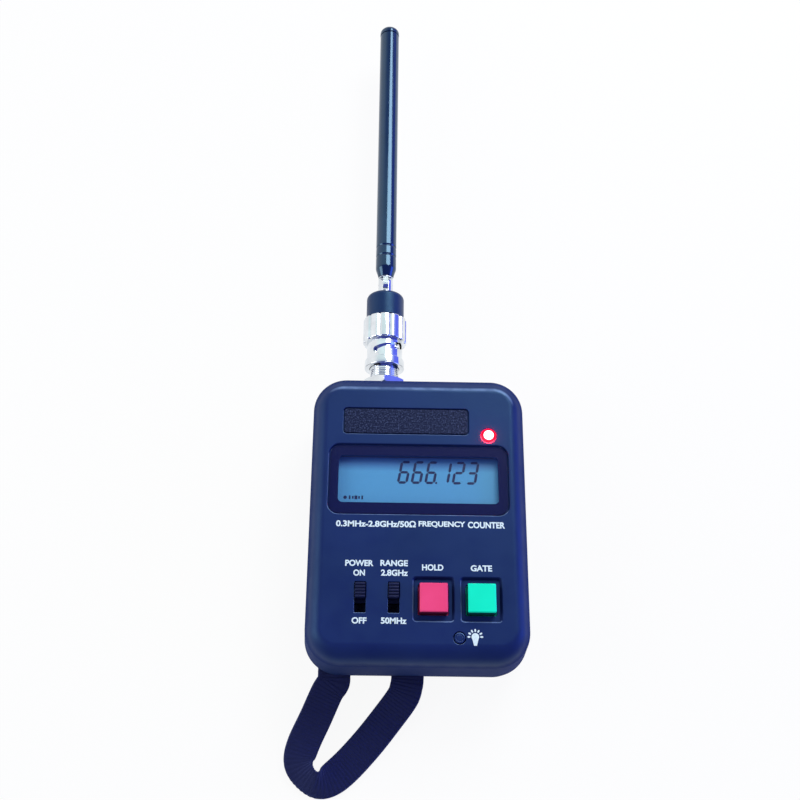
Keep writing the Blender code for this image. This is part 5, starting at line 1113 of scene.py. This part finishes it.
def antenna(looks):
    front, back, radius, wall = 88.05 * MM, 192.65 * MM, 3.5 * MM, 0.35 * MM
    profile = [(2.15 * MM, front), (2.45 * MM, front), (2.55 * MM, front + 0.12 * MM)]
    for share, grow in ((0.35, 0.28), (0.8, 0.86), (0.93, 0.965), (1.0, 0.99), (1.12, 1.0)):
        profile.append((2.55 * MM + 0.95 * MM * grow, front + 3.6 * MM * share))
    for rise in (7.9 * MM, 11.6 * MM):
        middle, half, depth = front + rise, 0.55 * MM, 0.22 * MM
        for step in range(-6, 7):
            share = step / 6
            profile.append((radius - depth * 0.5 * (1 + math.cos(math.pi * share)), middle + half * share))
    profile += [(radius, back - 0.12 * MM), (radius - 0.1 * MM, back), (radius - wall, back),
                (radius - wall, front + 3.95 * MM), (2.15 * MM, front + 3.25 * MM)]
    place(turned("whip_1", profile, sides=96, tube=True), looks["gloss"], "antenna", "black_gloss", ["antenna_tube_1"])
    for number in range(2, 7):
        node = f"antenna_tube_{number}"
        low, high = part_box(node)
        radius = (high.x - low.x) / 2
        edge = 0.08 * MM
        ring = [(radius - edge, low.y), (radius, low.y + edge), (radius, high.y - edge), (radius - edge, high.y)]
        if number < 6:
            bore = radius - wall
            tube = turned(f"whip_{number}", [(bore, low.y)] + ring + [(bore, high.y)], sides=64, tube=True)
        else:
            tube = turned(f"whip_{number}", [(0, low.y)] + ring + [(0, high.y)], sides=64)
        place(tube, looks["chrome"], f"section_{number}", "chrome", [node])
    low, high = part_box("antenna_tip")
    radius, skirt = 3.55 * MM, low.y + 1 * MM
    profile = [(0, low.y), (radius - 0.15 * MM, low.y), (radius, low.y + 0.12 * MM), (radius, skirt - 0.1 * MM)]
    dome = [math.pi / 2 * step / 18 for step in range(18)]
    for angle in dome:
        profile.append((radius * math.cos(angle), skirt + 2.4 * MM * math.sin(angle)))
    tip = turned("whip_tip", profile + [(0, high.y)], sides=96)
    cut(tip, turned("seat", [(0, low.y - OVER), (1.35 * MM, low.y - OVER), (1.35 * MM, low.y + 1.6 * MM),
                             (0, low.y + 1.6 * MM)], sides=48))
    place(tip, looks["gloss"], "section_6", "black_gloss", ["antenna_tip"])


# ---- wrist strap, on the CAD's route

STRAP_WIDTH = 10 * MM
STRAP_THICKNESS = 1.2 * MM
STRAP_HEIGHT = 5.6 * MM
STRAP_MIDDLE = -13.6 * MM
STRAP_SPACING = 22.4 * MM
STRAP_REACH = 31 * MM
HOOK_RADIUS = 1.8 * MM
HOOK_CENTRE = (-38 * MM, 7.4 * MM)
HOOK_SWEEP = math.radians(250)
RIB_PITCH = 1.05 * MM
RIB_DEPTH = 0.15 * MM
STRAP_ROUTE = (
    (0.5, 0.0, 1.0, 0),
    (0.487, 0.08, 0.98, 0),
    (0.433, 0.19, 0.83, 4),
    (0.223, 0.39, 0.45, 6),
    (-0.036, 0.62, 0.26, 3),
    (-0.32, 0.84, 0.25, 5),
    (-0.535, 0.965, 0.5, 22),
    (-0.715, 1.0, 0.76, 45),
    (-0.862, 0.925, 0.79, 42),
    (-0.933, 0.795, 0.7, 18),
    (-0.884, 0.632, 0.68, 0),
    (-0.732, 0.387, 0.82, 0),
    (-0.589, 0.148, 0.95, 0),
    (-0.509, 0.06, 1.0, 0),
    (-0.5, 0.0, 1.0, 0),
)


def hook_line(x, steps=40):
    """Points and face directions round the bar, from the strap's end outwards."""
    y, z = HOOK_CENTRE
    line = []
    for step in range(steps):
        angle = HOOK_SWEEP * (1 - step / steps)
        away = Vector((0, math.sin(angle), -math.cos(angle)))
        line.append((Vector((x, y, z)) + away * HOOK_RADIUS, Vector((-1, 0, 0)), -away))
    return line


def loop_line(steps=24):
    knots = []
    for across, out, height, tilt in STRAP_ROUTE:
        x, y = STRAP_MIDDLE + across * STRAP_SPACING, -CASE_LENGTH / 2 - out * STRAP_REACH
        knots.append(Vector((x, y, height * STRAP_HEIGHT, math.radians(tilt))))
    inside = Vector((0, STRAP_REACH * STRAP_ROUTE[1][1], 0, 0))
    knots = [knots[0] + inside] + knots + [knots[-1] + inside]
    line = []
    for before, start, end, after in zip(knots, knots[1:], knots[2:], knots[3:]):
        for step in range(steps):
            t = step / steps
            square, cube = t * t, t**3
            line.append(0.5 * (2 * start + (end - before) * t + (2 * before - 5 * start + 4 * end - after) * square
                               + (3 * start - before - 3 * end + after) * cube))
    line.append(knots[-2])
    stations = []
    for number, here in enumerate(line):
        ahead, behind = line[min(number + 1, len(line) - 1)], line[max(number - 1, 0)]
        along = (ahead - behind).to_3d().normalized()
        if number in (0, len(line) - 1):
            along = Vector((0, round(along.y), 0))
        side = along.cross(Vector((0, 0, 1))).normalized()
        face = side.cross(along).normalized()
        tilt = here[3]
        stations.append((here.to_3d(), side * math.cos(tilt) + face * math.sin(tilt),
                         face * math.cos(tilt) - side * math.sin(tilt)))
    return stations


def strap_section(count=9, corner=0.42 * MM):
    """Half the strap's rounded section: (across, up, how much of the rib it takes)."""
    half_w, half_t = STRAP_WIDTH / 2, STRAP_THICKNESS / 2
    top = [((-1 + 2 * i / (count - 1)) * (half_w - corner), half_t, 1.0) for i in range(count)]
    side = []
    for step in (1, 2, 3):
        angle = math.pi / 2 * step / 3
        side.append((half_w - corner * (1 - math.sin(angle)) + 0, half_t - corner * (1 - math.cos(angle)), 0.6))
    right = top + side
    return right + [(-x, -z, share) for x, z, share in right]


def resampled(stations, pitch):
    """The same line at even steps along its length."""
    lengths = [0.0]
    for (a, _, _), (b, _, _) in zip(stations, stations[1:]):
        lengths.append(lengths[-1] + (b - a).length)
    count = round(lengths[-1] / pitch)
    made, index = [], 0
    for step in range(count + 1):
        at = lengths[-1] * step / count
        while index < len(lengths) - 2 and lengths[index + 1] < at:
            index += 1
        share = (at - lengths[index]) / (lengths[index + 1] - lengths[index])
        ends = zip(stations[index], stations[index + 1])
        centre, side, face = (a.lerp(b, share) for a, b in ends)
        made.append((at, centre, side.normalized(), face.normalized()))
    return made


def wrist_strap(look):
    left_x, right_x = STRAP_MIDDLE - STRAP_SPACING / 2, STRAP_MIDDLE + STRAP_SPACING / 2
    left = [(centre, -side, face) for centre, side, face in reversed(hook_line(left_x))]
    stations = resampled(hook_line(right_x) + loop_line() + left, RIB_PITCH / 8)
    section = strap_section()
    rings = []
    for at, centre, side, face in stations:
        dip = RIB_DEPTH * (0.5 - 0.5 * math.cos(2 * math.pi * at / RIB_PITCH)) ** 1.6
        ring = []
        for across, up, share in section:
            pulled = up - math.copysign(dip * share, up)
            ring.append(centre + side * (across - math.copysign(dip * 0.35 * (1 - share), across)) + face * pulled)
        rings.append(ring)
    strap = lofted("webbing_strap", rings)
    layer = strap.data.uv_layers.new(name="UVMap")
    count = len(section)
    for loop in strap.data.loops:
        station, spot = divmod(loop.vertex_index, count)
        across = section[spot][0]
        layer.data[loop.index].uv = (across / MM, stations[min(station, len(stations) - 1)][0] / MM)
    place(strap, look, "case", "webbing", ["wrist_strap"], 60)


# ---- the CAD nodes that stay


def finish_nodes(looks, nodes):
    finishes = {
        "board": ["main_board"],
        "chip": ["counter_chip", "prescaler_chip", "hold_switch_body", "gate_switch_body", "lamp_switch_body"],
        "steel": ["board_screw_1", "board_screw_2", "rf_shield", "reference_crystal", "wave_washer", "strap_bar"],
        "cell": [f"battery_cell_{number}" for number in range(1, 5)],
        "chrome": ["plug_body"],
        "white": ["jack_insulator", "plug_insulator"],
        "gold": ["jack_contact", "plug_pin"],
        "backlight": ["lcd_backlight"],
        "rubber": ["zebra_strip"],
        "inner": ["lcd_bezel", "power_switch_body", "range_switch_body"],
    }
    for look, names in finishes.items():
        for name in names:
            node = nodes[name]
            if not node.material_slots:
                node.data.materials.append(looks[look])
            for slot in node.material_slots:
                slot.material = looks[look]


def make_looks():
    chrome = metal("chrome_plate", (0.82, 0.86, 0.9), 0.1)
    return {
        "case": case_look(),
        "print": print_look("panel_print", (0.78, 0.94, 1.0)),
        "border": print_look("window_ink", (0.004, 0.005, 0.05), 0.35, 0.12),
        "pane": pane_look(),
        "display": display_look(),
        "segments": print_look("display_segments", (0.006, 0.016, 0.075), 0.35),
        "glass": plastic("rear_glass", (0.2, 0.3, 0.36), (0.24, 0.35, 0.42), 0.2, 900),
        "plate": plate_look(),
        "led": led_look(),
        "knob": plastic("knob_plastic", (0.006, 0.01, 0.045), (0.009, 0.014, 0.06), 0.5, Specular_IOR_Level=0.2),
        # The last colour of each cap is the painted shade on its sides.
        "red": button_look("red_cap_plastic", (0.9, 0.06, 0.2), (0.96, 0.075, 0.24), (1, 0.45, 0.65), (0.12, 0.006, 0.03)),
        "green": button_look("green_cap_plastic", (0.004, 0.88, 0.55), (0.006, 0.96, 0.61), (0.25, 1, 0.9), (0.002, 0.1, 0.08)),
        "chrome": chrome,
        "steel": metal("nickel_steel", (0.5, 0.55, 0.62), 0.28, (700, 2500, 700), 0.003 * MM),
        "gloss": gloss_look(),
        "collar": plastic("collar_rubber", (0.006, 0.015, 0.07), (0.009, 0.021, 0.09), 0.42, 1500, 0.02 * MM,
                          Specular_IOR_Level=0.5, Specular_Tint=(0.3, 0.72, 1, 1)),
        "webbing": webbing_look(),
        "board": board_look(),
        "chip": plastic("chip_resin", (0.018, 0.018, 0.02), (0.026, 0.026, 0.03), 0.5, 3000),
        "cell": cell_look(),
        "white": plastic("white_plastic", (0.74, 0.74, 0.7), (0.82, 0.82, 0.8), 0.45, 1500),
        "gold": metal("gold_plate", (0.83, 0.6, 0.25), 0.22),
        "backlight": plastic("backlight_plastic", (0.7, 0.78, 0.66), (0.78, 0.85, 0.74), 0.5, 900),
        "rubber": plastic("contact_rubber", (0.06, 0.06, 0.06), (0.12, 0.12, 0.12), 0.8, 900),
        "inner": plastic("inner_plastic", (0.016, 0.02, 0.07), (0.024, 0.03, 0.095), 0.55),
    }


# ---- studio


def background_share(tree):
    """1 for rays that should see a white studio: from the camera, or by gloss or glass."""
    path = tree.nodes.new("ShaderNodeLightPath")
    total = path.outputs["Is Camera Ray"]
    for name in ("Is Glossy Ray", "Is Transmission Ray"):
        add = tree.nodes.new("ShaderNodeMath")
        add.operation = "MAXIMUM"
        tree.links.new(total, add.inputs[0])
        tree.links.new(path.outputs[name], add.inputs[1])
        total = add.outputs["Value"]
    return total, path


CEILING = ((0.31, (0.06, 0.08, 0.4)), (0.42, (0.85, 1, 1)), (0.53, (0.85, 1, 1)), (0.6, (0.05, 0.16, 0.42)))
WALL = ((0.0, (0.1, 0.13, 0.34)), (0.7, (1, 1, 1)))
RIGHT = ((0.2, (1, 1, 1)), (0.75, (0.14, 0.18, 1)))


def tone_ramp(tree, value, stops):
    ramp = tree.nodes.new("ShaderNodeValToRGB")
    tree.links.new(value, ramp.inputs["Fac"])
    items = ramp.color_ramp.elements
    while len(items) < len(stops):
        items.new(0.5)
    for item, (position, colour) in zip(items, stops):
        item.position = position
        item.color = (*colour, 1)
    return ramp.outputs["Color"]


def mixed(tree, share, first, second, way="MIX"):
    mix = tree.nodes.new("ShaderNodeMix")
    mix.data_type = "RGBA"
    mix.blend_type = way
    mix.inputs["Factor"].default_value = 1.0
    if share:
        tree.links.new(share, mix.inputs["Factor"])
    tree.links.new(first, mix.inputs["A"])
    tree.links.new(second, mix.inputs["B"])
    return mix.outputs["Result"]


def mirrored_room(tree):
    """What gloss sees beyond the floor: white walls, a ceiling with a pale strip, a dim front, blue on the right."""
    axes = tree.nodes.new("ShaderNodeSeparateXYZ")
    tree.links.new(tree.nodes.new("ShaderNodeTexCoord").outputs["Generated"], axes.inputs["Vector"])
    ceiling = tone_ramp(tree, axes.outputs["Y"], CEILING)
    behind = tree.nodes.new("ShaderNodeMath")
    behind.operation = "ADD"
    behind.inputs[1].default_value = 0.7
    tree.links.new(axes.outputs["Y"], behind.inputs[0])
    wall = tone_ramp(tree, behind.outputs["Value"], WALL)
    wall = mixed(tree, None, wall, tone_ramp(tree, axes.outputs["X"], RIGHT), "MULTIPLY")
    height = tone_ramp(tree, axes.outputs["Z"], ((0.45, (0, 0, 0)), (0.8, (1, 1, 1))))
    return mixed(tree, height, wall, ceiling)


def make_world(strength=0.42):
    world = bpy.data.worlds.new("studio")
    bpy.context.scene.world = world
    world.use_nodes = True
    tree = world.node_tree
    tree.nodes.clear()
    share, path = background_share(tree)
    soft, white = tree.nodes.new("ShaderNodeBackground"), tree.nodes.new("ShaderNodeBackground")
    soft.inputs["Color"].default_value = (0.9, 0.95, 1.0, 1)
    soft.inputs["Strength"].default_value = strength
    white.inputs["Strength"].default_value = 1.0
    seen = tree.nodes.new("ShaderNodeMix")
    seen.data_type = "RGBA"
    seen.inputs["A"].default_value = (1, 1, 1, 1)
    tree.links.new(path.outputs["Is Glossy Ray"], seen.inputs["Factor"])
    tree.links.new(mirrored_room(tree), seen.inputs["B"])
    tree.links.new(seen.outputs["Result"], white.inputs["Color"])
    mix = tree.nodes.new("ShaderNodeMixShader")
    tree.links.new(share, mix.inputs["Fac"])
    tree.links.new(soft.outputs["Background"], mix.inputs[1])
    tree.links.new(white.outputs["Background"], mix.inputs[2])
    out = tree.nodes.new("ShaderNodeOutputWorld")
    tree.links.new(mix.outputs["Shader"], out.inputs["Surface"])


def make_floor(size=3.0):
    half = size / 2
    floor = add_mesh("studio_floor", [(-half, -half, -0.02 * MM), (half, -half, -0.02 * MM), (half, half, -0.02 * MM),
                                      (-half, half, -0.02 * MM)], [(0, 1, 2, 3)])
    look = bpy.data.materials.new("floor_paper")
    look.use_nodes = True
    tree = look.node_tree
    tree.nodes.clear()
    share, path = background_share(tree)
    paper, white = tree.nodes.new("ShaderNodeBsdfDiffuse"), tree.nodes.new("ShaderNodeEmission")
    paper.inputs["Color"].default_value = (0.86, 0.88, 0.9, 1)
    white.inputs["Strength"].default_value = 1.0
    part = tree.nodes.new("ShaderNodeMath")
    part.operation = "MULTIPLY"
    part.inputs[1].default_value = 0.92
    tree.links.new(share, part.inputs[0])
    pale = tree.nodes.new("ShaderNodeMixShader")
    tree.links.new(part.outputs["Value"], pale.inputs["Fac"])
    tree.links.new(paper.outputs["BSDF"], pale.inputs[1])
    tree.links.new(white.outputs["Emission"], pale.inputs[2])
    clear = tree.nodes.new("ShaderNodeBsdfTransparent")
    side = tree.nodes.new("ShaderNodeNewGeometry")
    either = tree.nodes.new("ShaderNodeMath")
    either.operation = "MAXIMUM"
    tree.links.new(side.outputs["Backfacing"], either.inputs[0])
    tree.links.new(path.outputs["Is Shadow Ray"], either.inputs[1])
    mix = tree.nodes.new("ShaderNodeMixShader")
    tree.links.new(either.outputs["Value"], mix.inputs["Fac"])
    tree.links.new(pale.outputs["Shader"], mix.inputs[1])
    tree.links.new(clear.outputs["BSDF"], mix.inputs[2])
    out = tree.nodes.new("ShaderNodeOutputMaterial")
    tree.links.new(mix.outputs["Shader"], out.inputs["Surface"])
    floor.data.materials.append(look)


def lamp(name, spot, target, size, power, colour=(1, 1, 1)):
    light = bpy.data.lights.new(name, "AREA")
    light.shape = "RECTANGLE"
    light.size, light.size_y = size
    light.energy = power
    light.color = colour
    made = link(name, light)
    made.location = spot
    made.rotation_mode = "QUATERNION"
    made.rotation_quaternion = (Vector(target) - Vector(spot)).to_track_quat("-Z", "Y")
    return made


def make_lights():
    lamp("key_softbox", (0.27, 0.52, 0.6), (0, 0.08, 0.02), (0.42, 0.42), 3.9)
    lamp("left_softbox", (-0.75, -0.05, 0.42), (0, 0, 0.02), (0.5, 0.5), 2.4)
    lamp("right_softbox", (0.8, 0, 0.25), (0, 0, 0.02), (0.5, 0.4), 3, (0.1, 0.16, 1))
    lamp("under_softbox", (0, 0.05, -0.8), (0, 0.05, 0), (0.9, 0.9), 4)


def make_camera():
    data = bpy.data.cameras.new("camera")
    data.sensor_width = 36
    data.lens = CAMERA_LENS
    data.clip_start = 0.01
    data.clip_end = 20
    camera = link("camera", data)
    pitch, yaw, roll = CAMERA_TURN
    turn = Matrix.Rotation(pitch, 4, "X") @ Matrix.Rotation(yaw, 4, "Y") @ Matrix.Rotation(roll, 4, "Z")
    camera.matrix_world = Matrix.Translation(CAMERA_PLACE) @ turn
    bpy.context.scene.camera = camera


def build(frame):
    looks = make_looks()
    front_cover(looks["case"])
    rear_cover(looks["case"])
    case_screws(looks["steel"])
    charging_socket(looks["inner"], looks["chrome"])
    display(looks)
    blank_plate(looks["plate"])
    gate_light(looks["led"], looks["steel"])
    for name, spot in SLOTS.items():
        slide_knob(name, spot, looks["knob"])
    push_cap("hold", BUTTONS["hold"], looks["red"])
    push_cap("gate", BUTTONS["gate"], looks["green"])
    light_cap(looks["case"])
    for name, words, centre, width, height in LABELS:
        label(name, words, centre, width, height, looks["print"])
    light_icon(looks["print"])
    jack(looks)
    coupling_nut(looks["chrome"])
    collar(looks["collar"])
    elbow(looks)
    antenna(looks)
    wrist_strap(looks["webbing"])
    finish_nodes(looks, frame["nodes"])


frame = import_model()
bpy.context.scene.view_settings.view_transform = "Standard"
make_camera()
make_world()
make_floor()
make_lights()
build(frame)
